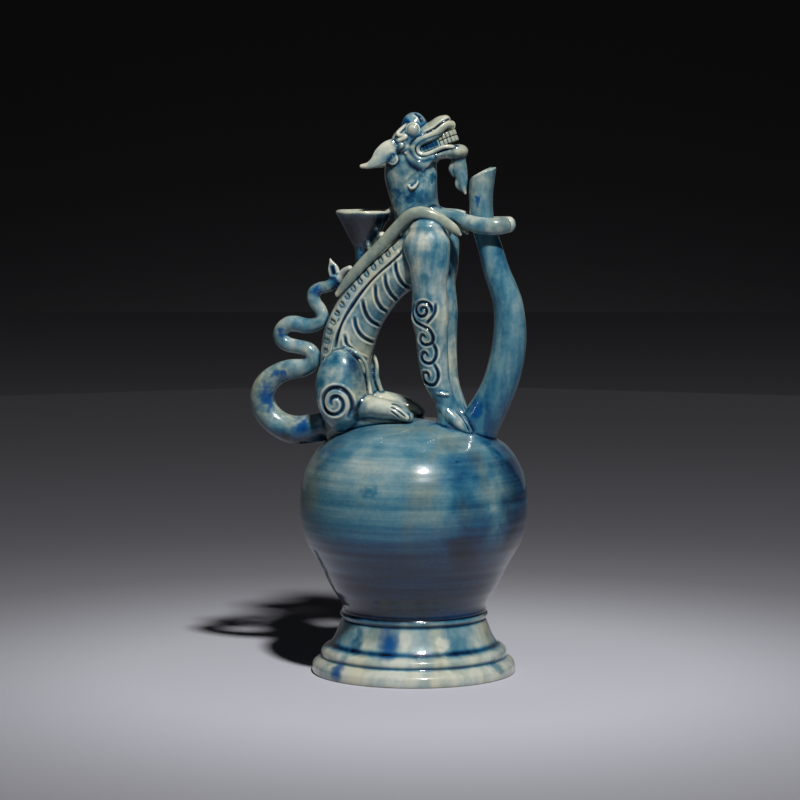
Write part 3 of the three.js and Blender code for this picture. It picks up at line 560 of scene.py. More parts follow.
def distance_to(points, line):
    """How far each point lies from a line of places, and how far along the line it is."""
    start, way = line[:-1], np.diff(line, axis=0)
    long = np.maximum((way**2).sum(1), 1e-9)
    off = points[:, None] - start
    share = np.clip((off * way).sum(2) / long, 0, 1)
    away = np.linalg.norm(off - share[..., None] * way, axis=2)
    best = away.argmin(1)
    done = run_along(np.sqrt(long))
    along = done[best] + share[np.arange(len(points)), best] * np.sqrt(long[best])
    return away.min(1), along / done[-1]


SPIRAL_FROM = math.radians(200)


def spiral(centre, start, end, turns, flatten=1.0):
    """Places on a spiral that opens clockwise from one radius to another."""
    shares = np.linspace(0, 1, int(10 * turns) + 2)
    angle = SPIRAL_FROM - shares * turns * math.tau
    radius = start + (end - start) * shares
    return np.stack([centre[0] + radius * np.cos(angle), centre[1] + flatten * radius * np.sin(angle)], 1)


made = []


def piece(name, mesh, nodes, slot, glazed):
    """A piece of clay, kept with the others until they are joined and finished."""
    clay = Clay(name, mesh, nodes, slot, glazed)
    made.append(clay)
    return clay


def other_side(clay):
    """The partner of a right-hand piece on the animal's left side."""
    mesh = clay.mesh.copy()
    mesh.transform(Matrix.Scale(-1, 4, (0, 1, 0)))
    mesh.flip_normals()
    names = [name.replace("_right", "_left") for name in clay.nodes]
    twin = piece(clay.name.replace("_right", "_left"), mesh, names, clay.slot, clay.glazed)
    twin.pool, twin.thin_and_lit = clay.pool.copy(), clay.thin_and_lit.copy()


def lute(pieces, reach=3.2, swell=0.9):
    """Slip smeared into the joins: near a neighbour a piece swells to meet it, and glaze pools."""
    trees = []
    for clay in pieces:
        bm = bmesh.new()
        clay.facing()
        bm.from_mesh(clay.mesh)
        trees.append((clay.at.min(0) - reach, clay.at.max(0) + reach, BVHTree.FromBMesh(bm)))
        bm.free()
    for clay in pieces:
        fill, pool = np.zeros(len(clay.at)), np.zeros(len(clay.at))
        for other, (low, high, tree) in zip(pieces, trees):
            if other is clay:
                continue
            for i in np.nonzero(((clay.at > low) & (clay.at < high)).all(1))[0]:
                at, facing, _, away = tree.find_nearest(clay.at[i], reach)
                if at is None:
                    continue
                outside = (Vector(clay.at[i]) - at).dot(facing) > 0
                near = 1 - away / reach if outside else 1
                stands = 1 - facing.dot(clay.out[i]) ** 2
                fill[i] = max(fill[i], near * near * stands)
                pool[i] = max(pool[i], bell(away, 1.1) if outside else 1)
        clay.gather(pool)
        clay.thin_and_lit *= 1 - pool
        clay.push(clay.eased(fill, 2) * swell)


# Head, in a frame of its own: along the snout, up and to the side

HEAD_AT = Vector((-2, 0, 279.8))
HEAD_TIP = math.radians(20)
head_turn = Quaternion((0, -1, 0), HEAD_TIP)


def on_head(along, up, side=0.0):
    return HEAD_AT + head_turn @ Vector((along, side, up))


def head_roll(rows, sides=16, steps=4):
    """A roll whose rows are along, up and to the side on the head, half depth, half width."""
    return roll([(*on_head(a, u, s), depth, width) for a, u, s, depth, width in rows], sides, steps)


def head_lump(along, up, side, halves, tip=0.0):
    return lump(on_head(along, up, side), halves, HEAD_TIP + tip)


def head_strokes(*strokes):
    """Strokes given on the head, as places along and up from the side."""
    return [[tuple(on_head(along, up))[::2] for along, up in stroke] for stroke in strokes]


# Glazes of the pieces: one cobalt glaze on buff stoneware, fired to a gloss, and how it lies on each

# Wiped round on the wheel, it gives the globe long level bands. It is painted darker below the globe's
# widest part: painted shade under its swell.
glaze_globe = (
    Glaze("poured_cobalt_glaze_on_thrown_stoneware", 0.43)
    .mottle(0.08, 40, (0.25, 0.25, 5), 0.1, detail=3)
    .mottle(0.045, 26, (0.3, 0.3, 11), 0.6, detail=3)
    .mottle(0.03, 30, (1, 1, 2), shift=0.5)
    .mottle(0.025, 2, shift=0.2)
    # Painted shade: thicker and darker below the widest part.
    .slope(58, 94, 0.36)
    .patches([
        ((-36, -30, 122), (24, 26, 14), 0.17),
        ((38, -40, 119), (15, 24, 11), 0.16),
        ((40, -46, 88), (16, 16, 26), 0.2),
    ])
    .patch((60, -14, 104), (12, 26, 44), 0.34, 0.2)
    .patch((51, -33, 104), (4, 8, 26), -0.13, 0.2)
    .patches([
        ((-14, -46, 114), (30, 24, 15), -0.13),
        ((28, -8, 136), (18, 14, 5), 0.22),
        ((48, -8, 126), (13, 16, 9), 0.3),
        ((-12, -56, 104), (8, 9, 3.2), 0.16),
    ])
    .patches([
        ((-3.6, -54, 75.6), (1.2, 3, 1.2), 0.6),
        ((31.5, -40, 118.4), (1.3, 3, 1.3), 0.3),
        ((47, -36, 94), (1.6, 3, 1), 0.3),
    ], 0.1)
    .attribute("pool", 0.4)
    .attribute("thin_and_lit", -0.3)
    .fired(iron=0.5, cobalt=0, peel=0.08)
)
# Run down the foot in wide bands, it shows blocks of clear blue and cream above a bare tan edge.
glaze_foot = Glaze("run_cobalt_glaze_on_thrown_foot", 0.24).mottle(0.04, 9, shift=0.4)
glaze_foot.mottle(0.13, 15, (1, 1, 0.14), 0.8).mottle(0.025, 2.5, (1, 1, 0.4), 0.6)
glaze_foot.slope(14, 15.6, -0.14).slope(7.6, 9.4, -0.04).patch((-42, -36, 4), (12, 14, 7), 0.2)
glaze_foot.patches([
    ((-23.8, -36.9, 22), (4, 7, 10), 0.26), ((-15.8, -41.1, 22), (5.4, 9, 9), -0.12),
    ((10.1, -42.8, 23), (11, 9, 8), -0.16), ((23.3, -37.4, 21), (3.4, 6, 9), -0.22),
    ((31.4, -30.9, 22), (7, 8, 10), 0.14), ((39, -20.2, 22), (3.4, 6, 10), -0.06),
    ((50.2, -19.8, 8), (6, 6, 4.5), 0.34), ((-29.7, -40.3, 13), (3, 5, 3), 0.2),
    ((-42, 0, 24), (10, 30, 12), 0.3),
])
glaze_foot.dab((-5.2, -43.6, 23), (5.8, 8, 11)).dab((-32.8, -42.8, 5), (4.4, 6, 8))
glaze_foot = fired(glaze_foot, 0.3, 0.55, iron=0.5, cobalt=0.3, peel=0.14, bare=0.4)
# Thin over ribs and ridges, it lets the buff clay through and leaves navy lines in the cuts.
glaze_body = fired(brushed("brushed_glaze_over_carved_ribs", 0.27, 0.12), iron=0.75)
# On the haunches it is pale where it faces up, which is painted light, and blue at the seams.
glaze_haunch = brushed("brushed_glaze_on_the_haunches", 0.36, 0.18).patches([
    ((-43, -16, 173), (9, 12, 4), 0.2), ((-28, -20, 168), (5, 12, 6), 0.2),
    ((-25, -20, 157), (4, 9, 7), 0.16), ((-22, -22, 143), (5, 12, 7), 0.4),
    ((-38, -26, 146), (9, 12, 9), -0.12),
])
glaze_haunch = fired(glaze_haunch, iron=0.5)
# Dabbed thick on the neck, it is a deep blue broken by grey-green.
glaze_neck = brushed("dabbed_glaze_on_the_neck", 0.4, 0.2).patches([
    ((-6.8, -9, 256.9), (3.6, 9, 5), 0.26), ((4.1, -11, 266), (4.2, 9, 2.6), 0.26),
    ((0.9, -11, 255.4), (3, 9, 4), 0.26), ((10.7, -8, 266), (2.6, 9, 4), 0.26),
], 0.5)
glaze_neck = fired(glaze_neck.patch((2.2, -11, 260.9), (5, 8, 3), -0.2).slope(247, 254, -0.2), iron=0.6)
# Run down the legs in streaks, it is bare at the shoulder's edge and thick at the ankle.
glaze_leg = brushed("run_glaze_on_the_forelegs", 0.33, 0.13, 0.14).patch((14, -14, 188), (5, 12, 40), 0.08)
glaze_leg = fired(glaze_leg.patch((10, -20, 230), (10, 12, 9), -0.16).slope(146, 158, 0.06), iron=0.5)
# Thin on the head, it leaves the modelling pale, with a blue-violet hollow between eye and lips.
glaze_head = brushed("thin_glaze_on_the_head", 0.15, 0.12, 0.04)
glaze_head.patch(on_head(4, 4.6, -9), (4, 6, 3.4), 0.36).patch(on_head(-3, -1, -9), (4, 6, 4), 0.2)
glaze_head.patch(on_head(18.6, -6.6, -6), (3.4, 6, 2.2), 0.3)
glaze_head = fired(glaze_head.patch((-25, -18, 145), (7, 12, 9), 0.3), 0.36, 0.7, iron=0.7)
# Thin and warm on the straps, it looks like olive-grey stone.
glaze_strap = fired(brushed("thin_olive_glaze_on_the_straps", 0.28, 0.07, 0.03), iron=1.3, cobalt=0)
# Worn to the clay on the smallest forms, it is cream with blue only in the hollows.
glaze_pale = brushed("cream_glaze_worn_thin_on_small_forms", 0.13, 0.1, 0.03)
glaze_pale = fired(glaze_pale, 0.3, 0.8, iron=0.7, cobalt=0)
# A drop of clear cobalt lies on the crest.
glaze_crest = brushed("drop_of_cobalt_glaze_on_the_crest", 0.42).dab(on_head(3, 16, -3), (5, 7, 4), 0.4)
glaze_crest = fired(glaze_crest.patch(on_head(9, 15, -4), (3, 8, 4), -0.12), 0.3, iron=0.1)
# Nearly black on the cup, it thins to buff at the lip. The blue-white patches over the lumps of slip at
# its foot are painted highlights.
glaze_cup = brushed("thick_dark_glaze_on_the_cup", 0.86, 0.07, 0.1).patches([
    ((-15.3, -6, 236.4), (3.4, 8, 3.4), -0.66), ((-19.6, -7, 232.2), (2, 7, 1.8), -0.4),
    ((-24, -6, 230.4), (1.5, 7, 3), -0.5), ((-29.6, -4, 224), (3, 8, 7), -0.3),
], 0.6)
glaze_cup.patch((-27.5, 0, 249.4), (26, 26, 5), -0.85, 0.1)
glaze_cup = fired(glaze_cup, 0.85, 0.3, iron=0.9)
# On the spout it is streaked along the roll, and gathers to a pool of blue at its foot.
glaze_spout = brushed("streaked_cobalt_glaze_on_the_spout", 0.42, 0.05, 0.1).slope(133, 172, 0.16)
glaze_spout.patch((34, 0, 262), (6, 12, 12), -0.22).patch((46, 0, 215), (4, 12, 22), 0.1)
glaze_spout.dab((35.5, -9, 144), (3.4, 9, 7)).dab((36, -3, 254), (2, 9, 3), 0.5)
glaze_spout = fired(glaze_spout, iron=0.25)
# On the tail it lies in a few strong dabs of cobalt, with grey-green between them.
# Below 135 mm the tail's glaze is painted darker: painted shade under the loop.
glaze_tail = brushed("dabbed_glaze_on_the_tail", 0.31, 0.18, 0.03).slope(125, 135, 0.34)
for at, reach in (
    ((-79.6, 0, 147.8), (3.8, 12, 8)), ((-73.4, 0, 160), (5, 12, 3.4)), ((-60.6, 0, 133.4), (5, 12, 5.4)),
    ((-52.4, 0, 204.8), (4.4, 12, 3)), ((-72.6, 0, 182), (2, 12, 3)),
):
    glaze_tail.dab(at, reach, 0.4)
# The pale patch in the middle of the loop is a painted highlight.
glaze_tail = fired(glaze_tail.patch((-62, 0, 175), (14, 12, 6), -0.14), iron=0.5)
# On the arms it breaks into small clouds of blue.
glaze_arm = fired(brushed("clouded_glaze_on_the_arms", 0.29, 0.17, 0.02), iron=0.5)
# On the teeth it is all but wiped off, and dark in the gaps.
glaze_tooth = fired(brushed("glaze_wiped_off_the_teeth", 0.15, 0.08, 0), 0.3, 0.7, iron=0.5, cobalt=0)
# Left thick on the cheek teeth, it makes blue cells with pale edges.
glaze_cheek = fired(brushed("thick_glaze_on_the_cheek_teeth", 0.68, 0.1, 0), 0.62, 0.3, iron=0)

# Vessel

GLOBE = [
    (0, 32.5), (20, 32.3), (36.6, 32.0), (38.6, 33.4), (39.4, 38), (44.9, 46.9), (49.8, 56.8),
    (53.2, 62.5), (58, 71), (60.6, 80), (61.4, 91), (60.4, 102), (57.5, 111), (52.2, 119.6),
    (47, 124.3), (40, 128.6), (30, 132.8), (18, 135.8), (8, 136.9), (0, 137.2),
]
FOOT = [
    (54.2, 0), (54.8, 0.6), (55.1, 2.6), (54.6, 5), (53, 6.7), (50.9, 7.9), (49.8, 8.9), (50, 9.9),
    (50.2, 11), (49.6, 12.6), (48.2, 13.9), (46.3, 14.7), (45, 15.9), (43.6, 18), (42, 21),
    (40.4, 25), (39, 28.6), (38.7, 29.9), (39.5, 30.6), (39.6, 31.6), (38.6, 32.3), (36, 32),
    (32.5, 31), (34, 19.5), (38.5, 11.2), (45.5, 5), (47.8, 1), (48.4, 0), (51, -0.02), (54.2, 0),
]
CUP_AXIS = -27.5
CUP = [
    (0, 204), (3.4, 204), (4.3, 208), (4.3, 218), (4.4, 224), (5, 228), (6.8, 231.6), (9.6, 237),
    (12.2, 242), (14, 245.2), (15, 246.8), (14.7, 248), (13.4, 248.2), (12, 246.2),
    (9.4, 242), (6.2, 237), (3.8, 232.6), (2.6, 228.4), (2.4, 222), (1.4, 218), (0, 217.6),
]
THROWN_SIDES = 256


def throwing_rings(clay, amount, pitch, seed):
    """The potter's fingers leave faint rings in a thrown wall."""
    draw = np.random.default_rng(seed)
    height = clay.at[:, 2]
    rings = sum(
        np.sin(height * math.tau / (pitch * scale) + draw.uniform(0, math.tau)) / 3
        for scale in (0.7, 1.1, 2.3)
    )
    flat = np.clip(np.abs(clay.out[:, :2]).max(1) * 2, 0, 1)
    return clay.push(rings * flat * amount)


globe_mesh = as_mesh([turned(GLOBE, THROWN_SIDES, 8)])
globe = piece("thrown_globe", globe_mesh, ["globe"], "teal_glaze", glaze_globe)
throwing_rings(globe, 0.1, 7, 3).wobble(0.4, 90, 5)
foot_mesh = as_mesh([turned(FOOT, THROWN_SIDES, 5)])
foot = piece("thrown_foot", foot_mesh, ["foot_ring"], "teal_glaze", glaze_foot)
foot.wobble(0.1, 60, 7)
# Glaze gathers in the hollows between the mouldings, at a height and to a half width.
for height, reach in ((15.8, 1.3), (9.2, 0.8), (29.4, 0.8)):
    foot.gather(bell(foot.at[:, 2] - height, reach))
cup = piece(
    "thrown_cup",
    pressed([
        turned(CUP, 96, 5, CUP_AXIS),
        roll([(-15.6, 0, 244.6, 3, 2.2), (-13.4, 0, 247.8, 2, 1.6), (-12.8, 0, 249.6, 1, 0.9)]),
        lump((-17, -4.6, 234.6), (2.8, 2.4, 2.2), 0.7),
        lump((-23.8, -4.4, 229.6), (1.5, 1.7, 3.2)),
    ]),
    ["filling_cup"],
    "teal_glaze",
    glaze_cup,
)
cup.smooth(3).wobble(0.5, 25, 9)

SPOUT = [
    (27, 112, 11.8), (32.5, 127.6, 11.4), (37.5, 137.3, 10.5), (41.1, 144, 10.1), (45.2, 152.3, 9.8),
    (48.2, 160.5, 9.6), (50.7, 171.4, 9.15), (52.1, 184.4, 8.7), (51.3, 197.4, 8.1),
    (48.7, 206.4, 7.5), (45, 216.1, 6.8), (41.2, 229.1, 6.3), (38.2, 238, 6.3), (36.6, 246.2, 6.4),
    (36.2, 256.7, 6.4), (36.9, 265.7, 6.6), (37.8, 276, 7),
]
MOUTH_AT, MOUTH_LEAN = (37, 0, 267.8), math.radians(28)
BORE_SHARE, BORE_STEP, BORE_STEPS = 0.64, (-0.3, 0, -3.2), 5


def spout_form():
    """The tube is cut at a slant, and its cut edge is drawn in and down to make the bore."""
    bm = roll([(x, 0, z, r, r) for x, z, r in SPOUT], sides=32, steps=5)
    cut_facing = Vector((-math.sin(MOUTH_LEAN), 0, math.cos(MOUTH_LEAN)))
    cut = bmesh.ops.bisect_plane(
        bm,
        geom=bm.verts[:] + bm.edges[:] + bm.faces[:],
        plane_co=MOUTH_AT,
        plane_no=cut_facing,
        clear_outer=True,
    )["geom_cut"]
    edges = [g for g in cut if isinstance(g, bmesh.types.BMEdge)]
    for step in range(BORE_STEPS + 1):
        verts, edges = drawn_out(bm, edges)
        if step == 0:
            middle = Matrix.Translation(-Vector(MOUTH_AT))
            bmesh.ops.scale(bm, vec=(BORE_SHARE,) * 3, space=middle, verts=verts)
        else:
            bmesh.ops.translate(bm, vec=BORE_STEP, verts=verts)
    bmesh.ops.edgeloop_fill(bm, edges=edges)
    bmesh.ops.recalc_face_normals(bm, faces=bm.faces)
    return bm


mouth_ring = ring(MOUTH_AT, 5.6, 1.2, Matrix.Rotation(-MOUTH_LEAN, 3, "Y"))
spout = piece("rolled_spout", pressed([spout_form(), mouth_ring]), ["spout"], "cobalt_glaze", glaze_spout)
spout.smooth(8).wobble(0.6, 45, 11)

# Body of the animal

TRUNK = [
    (13, 0, 238, 7.8, 8.8), (7, 0, 231.5, 12.4, 12.6), (-4.4, 0, 220, 12.9, 12.8),
    (-16.9, 0, 208.9, 12.6, 12.4), (-28, 0, 195.6, 13.6, 12.4), (-34.8, 0, 181.6, 14.3, 12.6),
    (-37.5, 0, 167, 13.5, 13.1), (-37.2, 0, 150, 13.6, 14.1), (-36.4, 0, 132, 12.6, 14.6),
    (-34, 0, 120, 9, 11),
]
SPINE_GROOVE = [
    (-2.5, 228.5), (-5.5, 225.6), (-11.2, 220.4), (-16.4, 216.1), (-21.6, 211), (-26.4, 205),
    (-31.2, 198.1), (-35.2, 192.1), (-37.8, 186.9), (-39.5, 180.9), (-40.4, 175.8),
]
RIBS = [
    [(-7.7, 221.3), (-6.8, 215.4), (-4.2, 209.5), (-0.8, 207)],
    [(-13.3, 214.5), (-12.5, 208.5), (-9.9, 202.6), (-7.3, 200.1)],
    [(-18.6, 208.5), (-18.1, 201.7), (-16, 196.6), (-13.4, 194.1)],
    [(-25.5, 200.7), (-24.2, 194.8), (-21.6, 189.7), (-16.4, 185.5)],
    [(-29.9, 191.3), (-29, 186.2), (-26, 181.1), (-20.3, 176.9)],
    [(-35.2, 181.8), (-33.9, 176.7), (-29.5, 171.7), (-25.1, 168.3)],
]
trunk = piece("trunk_clay", pressed([roll(TRUNK, 36, 6)]), ["trunk"], "celadon_glaze", glaze_body)
trunk.smooth(3).wobble(0.5, 30, 13)
trunk.incise([SPINE_GROOVE], 0.8, 1.1, 0.3, both=True)
trunk.incise(RIBS, 0.7, 0.95, 0.3, both=True)

NECK = [
    (4, 0, 234, 12.2, 11.4), (1.1, 0, 249.5, 12.2, 11), (-0.5, 0, 257.5, 13.1, 11),
    (-1.6, 0, 267, 14.1, 11.4), (-2.2, 0, 275, 13, 10.6), (-2, 0, 281, 9, 8),
]
neck_forms = [roll(NECK, 36, 6)]
for side in (NEAR, FAR):
    neck_forms.append(roll([
        (-0.8, side * 11.5, 261.8, 0.4, 0.5), (0.8, side * 11.9, 260.3, 0.9, 0.8),
        (2.8, side * 11.7, 261.2, 0.9, 0.8), (4.6, side * 11, 263.8, 0.4, 0.5)], 12))
neck = piece("neck_clay", pressed(neck_forms), ["neck"], "cobalt_glaze", glaze_neck)
neck.smooth(3).wobble(0.6, 22, 15)

# Pinched strips along the back, that stand for its beads

STRIP_ROLLS = ((35, 1.1), (41, 1.35), (48, 1.4), (55, 1.35), (61, 1.1))
STRIP_START, STRIP_END, STRIP_SUNK = 0.2, 0.86, 0.5
BEAD_PITCH = 5.3
# A pinch turns so far round from the backbone, and reaches further down the flank than up.
PINCH_TURN, PINCH_HALF, PINCH_DEEP, PINCH_DOWN, PINCH_UP = 47, 1.05, 1.5, 3.6, 1.6


def back_line(turn):
    """Places on the right side of the back, turned round from the backbone, from the shoulder down
    to the rump, and the way across the back at each."""
    turn = math.radians(turn)
    line = smooth_line(TRUNK, 40)
    line = line[int(STRIP_START * len(line)) : int(STRIP_END * len(line))]
    tangent = np.gradient(line[:, :3], axis=0)
    tangent /= np.linalg.norm(tangent, axis=1)[:, None]
    back, side = -np.cross(tangent, (0, 1, 0)), np.array((0, NEAR, 0))
    reach = 1 / np.sqrt((math.cos(turn) / line[:, 3:4]) ** 2 + (math.sin(turn) / line[:, 4:5]) ** 2)
    out = back * math.cos(turn) + side * math.sin(turn)
    across = back * math.sin(turn) - side * math.cos(turn)
    return line[:, :3] + out * (reach - STRIP_SUNK), across


strip_forms = []
for turn, thick in STRIP_ROLLS:
    strip_forms.append(roll([(*at, thick, thick) for at in back_line(turn)[0][::12]], 12, 3))
strip_mesh = pressed(strip_forms, SMALL_GRAIN)
strip = piece("pinched_strip_right", strip_mesh, ["spine_ridge_right"], "ivory_glaze", glaze_pale)
strip.smooth(3)


def pinch(strip):
    """Hollows pinched into the strip at even steps, deepest towards the backbone."""
    line, across = back_line(PINCH_TURN)
    done = run_along(np.linalg.norm(np.diff(line, axis=0), axis=1))
    count = round(done[-1] / BEAD_PITCH)
    nearest = np.array([((line - at) ** 2).sum(1).argmin() for at in strip.at])
    along = done[nearest] / done[-1] * count
    off = np.abs(along - np.round(along)) * BEAD_PITCH
    over = ((strip.at - line[nearest]) * across[nearest]).sum(1)
    cut = bell(off, PINCH_HALF) * bell(over, np.where(over > 0, PINCH_DOWN, PINCH_UP))
    strip.gather(cut * 2.4)
    strip.push(-PINCH_DEEP * cut)


pinch(strip)
other_side(strip)

# Legs

FORELEG = [
    (9, -12.8, 238, 9.2, 6.4), (9.4, -12.8, 231, 12.6, 8.6), (10.8, -12.8, 220, 11, 8.6),
    (10.6, -12.7, 209, 9.3, 8), (11, -12.5, 200, 9.6, 7.6), (11.2, -12.4, 192, 10, 7.2),
    (12.2, -12.2, 183.5, 8.8, 6.9), (12.6, -12, 175, 8.3, 6.4), (13.2, -11.8, 166.6, 8, 6.2),
    (14.6, -11.6, 158.5, 7.2, 6), (16.6, -11.4, 153, 6.3, 5.4), (18.8, -11.2, 148.5, 5.4, 5),
    (20.4, -11, 143, 5.8, 5.3), (21.6, -11, 137, 6.4, 5.7), (22, -11, 130, 6.4, 5.8),
]
foreleg = piece(
    "foreleg_clay_right",
    pressed([
        roll(FORELEG, 32, 5),
        roll([(18, -11.2, 145, 4, 5), (22, -11.4, 140.6, 4.4, 6.2), (26.5, -11.4, 136.8, 4, 6.6),
              (30, -11.4, 133.6, 2.8, 5.6), (32.4, -11.4, 131.4, 1.6, 4)], 24),
        roll([(12.8, -13, 152.6, 0.8, 1), (16.4, -16.4, 152, 1.1, 1.1),
              (21.6, -15.4, 151.4, 0.8, 1)], 10),
    ]),
    ["foreleg_right"],
    "celadon_glaze",
    glaze_leg,
)
foreleg.smooth(3).wobble(0.6, 30, 17)
LEG_SCROLLS = [
    spiral((8.5, 196), 0.5, 5.5, 1.6),
    [(15.5, 199.4), (15.2, 195.2), (13, 191.8), (10.8, 189.4)],
    [(3.6, 199), (2.4, 195), (4.2, 190.3), (8.6, 187.8), (12, 186), (14.1, 182.2),
     (13.3, 178.8), (9.4, 177.9), (6.8, 180.2), (8.1, 183.1), (10.2, 181.6)],
    [(14, 179), (15.7, 174.8), (15.2, 170.6), (12.6, 168), (8.8, 168.8), (7.5, 171.7),
     (9.2, 173.9), (11.3, 171.8)],
    [(14.3, 168), (16.4, 163.8), (16.4, 159.6), (14.3, 156.6), (10.8, 156.9), (8.3, 159.4),
     (8.3, 162.6), (10.8, 162.7), (11.7, 159.9)],
]
foreleg.incise(LEG_SCROLLS, 0.64, 0.9, 0.25)
foreleg.part_toes(25, -11.4)
other_side(foreleg)

haunch = piece(
    "haunch_clay_right",
    pressed([
        lump((-36.8, -15.2, 152.8), (13.8, 10.6, 21.8)),
        roll([(-34, -13, 174.8, 1.3, 1.5), (-29, -13.6, 172.6, 1.5, 1.6), (-25, -13, 169, 1.5, 1.6),
              (-23, -12, 164, 1.4, 1.6), (-22.8, -11.4, 158, 1.4, 1.6), (-21.4, -12, 152.6, 1.3, 1.6),
              (-20.4, -13, 149.4, 0.9, 1.2)], 12),
    ]),
    ["haunch_right"],
    "teal_glaze",
    glaze_haunch,
)
haunch.smooth(6).wobble(0.5, 30, 19)
haunch.incise([spiral((-37.8, 146.4), 2, 9.6, 1.68, 1.08)], 0.8, 1.2, 0.35)
other_side(haunch)

hind_foot = piece(
    "hind_foot_clay_right",
    pressed([
        roll([(-30, -14.6, 143.4, 6.8, 6.4), (-21, -15, 144, 6, 6.6), (-14, -15.4, 143.2, 5.6, 6.8),
              (-8, -15.6, 142.2, 4.9, 7), (-3.4, -15.6, 140.6, 4, 6.6), (0, -15.6, 139, 2.8, 5.6)], 28, 5),
        # This roll sits under the foot, set in from its near edge; glaze pools on it where it meets the
        # globe, a dark line that is painted shadow under the foot.
        roll([(-32, -11, 136, 5, 6), (-16, -11, 137.4, 4, 6.6), (-4, -11, 136.6, 3, 6)], 20),
    ]),
    ["hind_foot_right"],
    "celadon_glaze",
    glaze_head,
)
hind_foot.smooth(4).wobble(0.4, 25, 21)
hind_foot.part_toes(-7.5, -15.6)
TOE_LINES = [
    [(-6.8, 147.2), (-2.8, 146.3), (0.5, 143.8), (2.2, 140.9)],
    [(-8, 146.4), (-4.4, 145.5), (-0.4, 143.3), (1.9, 140.4)],
    [(-8.1, 144.9), (-4.8, 143.3), (-1.5, 140.8), (-0.2, 139.5)],
    [(-7.8, 142.6), (-5.5, 141), (-3.5, 139.4)],
]
hind_foot.incise(TOE_LINES, 0.36, 0.45, 0.15)
other_side(hind_foot)

# Tail

TAIL = [
    (-38, 134.5, 8), (-50.3, 131.4, 8), (-62.4, 129.2, 7.8), (-71.5, 130.6, 7.3), (-78.6, 135, 6.9),
    (-83, 141.2, 6.6), (-83.8, 148, 6.4), (-80.8, 154.9, 6.2), (-75, 159.7, 5.8), (-68, 162, 5.4),
    (-62, 162.9, 5), (-58.2, 164.3, 4.6), (-56.2, 166.8, 4.4), (-56, 169.8, 4.2), (-57.6, 172.3, 4),
    (-60.6, 173.7, 3.9), (-65.6, 174.7, 3.9), (-70, 175.8, 4), (-73, 178.2, 4), (-73.8, 181.4, 4),
    (-72.2, 184.6, 4.1), (-69, 186.5, 4.2), (-64.6, 186.7, 4.3), (-59.6, 185.9, 4.3),
    (-55, 186.4, 4), (-51.8, 188.2, 3.8), (-50.7, 191.2, 3.6), (-51.8, 194.6, 3.6),
    (-54.2, 197.8, 3.6), (-55.4, 201, 3.6), (-54.6, 204.2, 3.4), (-51.6, 206.2, 3.2),
    (-47.4, 207.2, 3), (-44, 209.4, 2.6),
]
tail_mesh = pressed([roll([(x, 0, z, r, r) for x, z, r in TAIL], 24)])
tail = piece("rolled_tail", tail_mesh, ["tail"], "celadon_glaze", glaze_tail)
tail.smooth(2).wobble(0.5, 24, 23)
flame = piece(
    "tail_flame_clay",
    pressed([
        roll([(-43.4, 0, 208, 2.4, 2), (-43.3, 0, 211, 1.9, 1.7), (-43.6, 0, 213.4, 2.7, 1.6),
              (-44.1, 0, 216, 3, 1.5), (-44.9, 0, 218.6, 2.2, 1.3), (-45.6, 0, 220.6, 1, 0.9),
              (-46, 0, 222, 0.4, 0.4)], 18),
        roll([(-44.6, 0, 208, 2.2, 1.9), (-42, 0, 210.4, 2.3, 1.9), (-39.6, -0.6, 213.6, 2.1, 1.7),
              (-37.4, -1.6, 215.6, 2, 1.7), (-34.6, -3, 217.2, 1.6, 1.6)], 16),
    ], FINE_GRAIN),
    ["tail_flame"],
    "ivory_glaze",
    glaze_pale,
)
flame.smooth(2)
flame.incise([[(-43.5, 213.4), (-44.1, 216), (-44.9, 218.6)]], 1.2, 0.7, 0.2, both=True)

# Straps and arms

strap = piece(
    "strap_clay_right",
    pressed([roll([
        (27, -9.8, 236, 1, 1.2), (23.6, -11.4, 239.3, 2.6, 2.3), (16, -13.3, 244.6, 3.2, 2.6),
        (8, -13.9, 247.5, 3.3, 2.7), (1, -13.2, 246.3, 3.3, 2.7), (-5, -11.3, 241.3, 3.3, 2.6),
        (-11.5, -9.6, 234.8, 3.2, 2.6), (-18, -8.4, 228.1, 3.1, 2.6), (-26, -7.5, 220.3, 3, 2.6),
        (-34, -6.4, 211.6, 2.7, 2.5), (-40.8, -5.2, 203.4, 1.6, 1.9)], 20, 5)]),
    ["strap_right"],
    "celadon_glaze",
    glaze_strap,
)
strap.smooth(2).wobble(0.3, 30, 25)
other_side(strap)
arm = piece(
    "arm_clay_right",
    pressed([roll([
        (7, -4.7, 248.4, 3.6, 3.1), (15, -5.2, 246, 3.7, 3.1), (23.5, -6.7, 245.2, 3.6, 3.4),
        (31, -8.9, 242.7, 4.2, 3.4), (38, -9.8, 240.8, 4.6, 3.5), (44.6, -9.3, 240.4, 4.6, 3.6),
        (50.4, -7, 241, 4.3, 3.6)], 20, 5)]),
    ["clasp_arm_right"],
    "teal_glaze",
    glaze_arm,
)
arm.smooth(2).wobble(0.5, 16, 27)
other_side(arm)

# Snout, jaw and lips

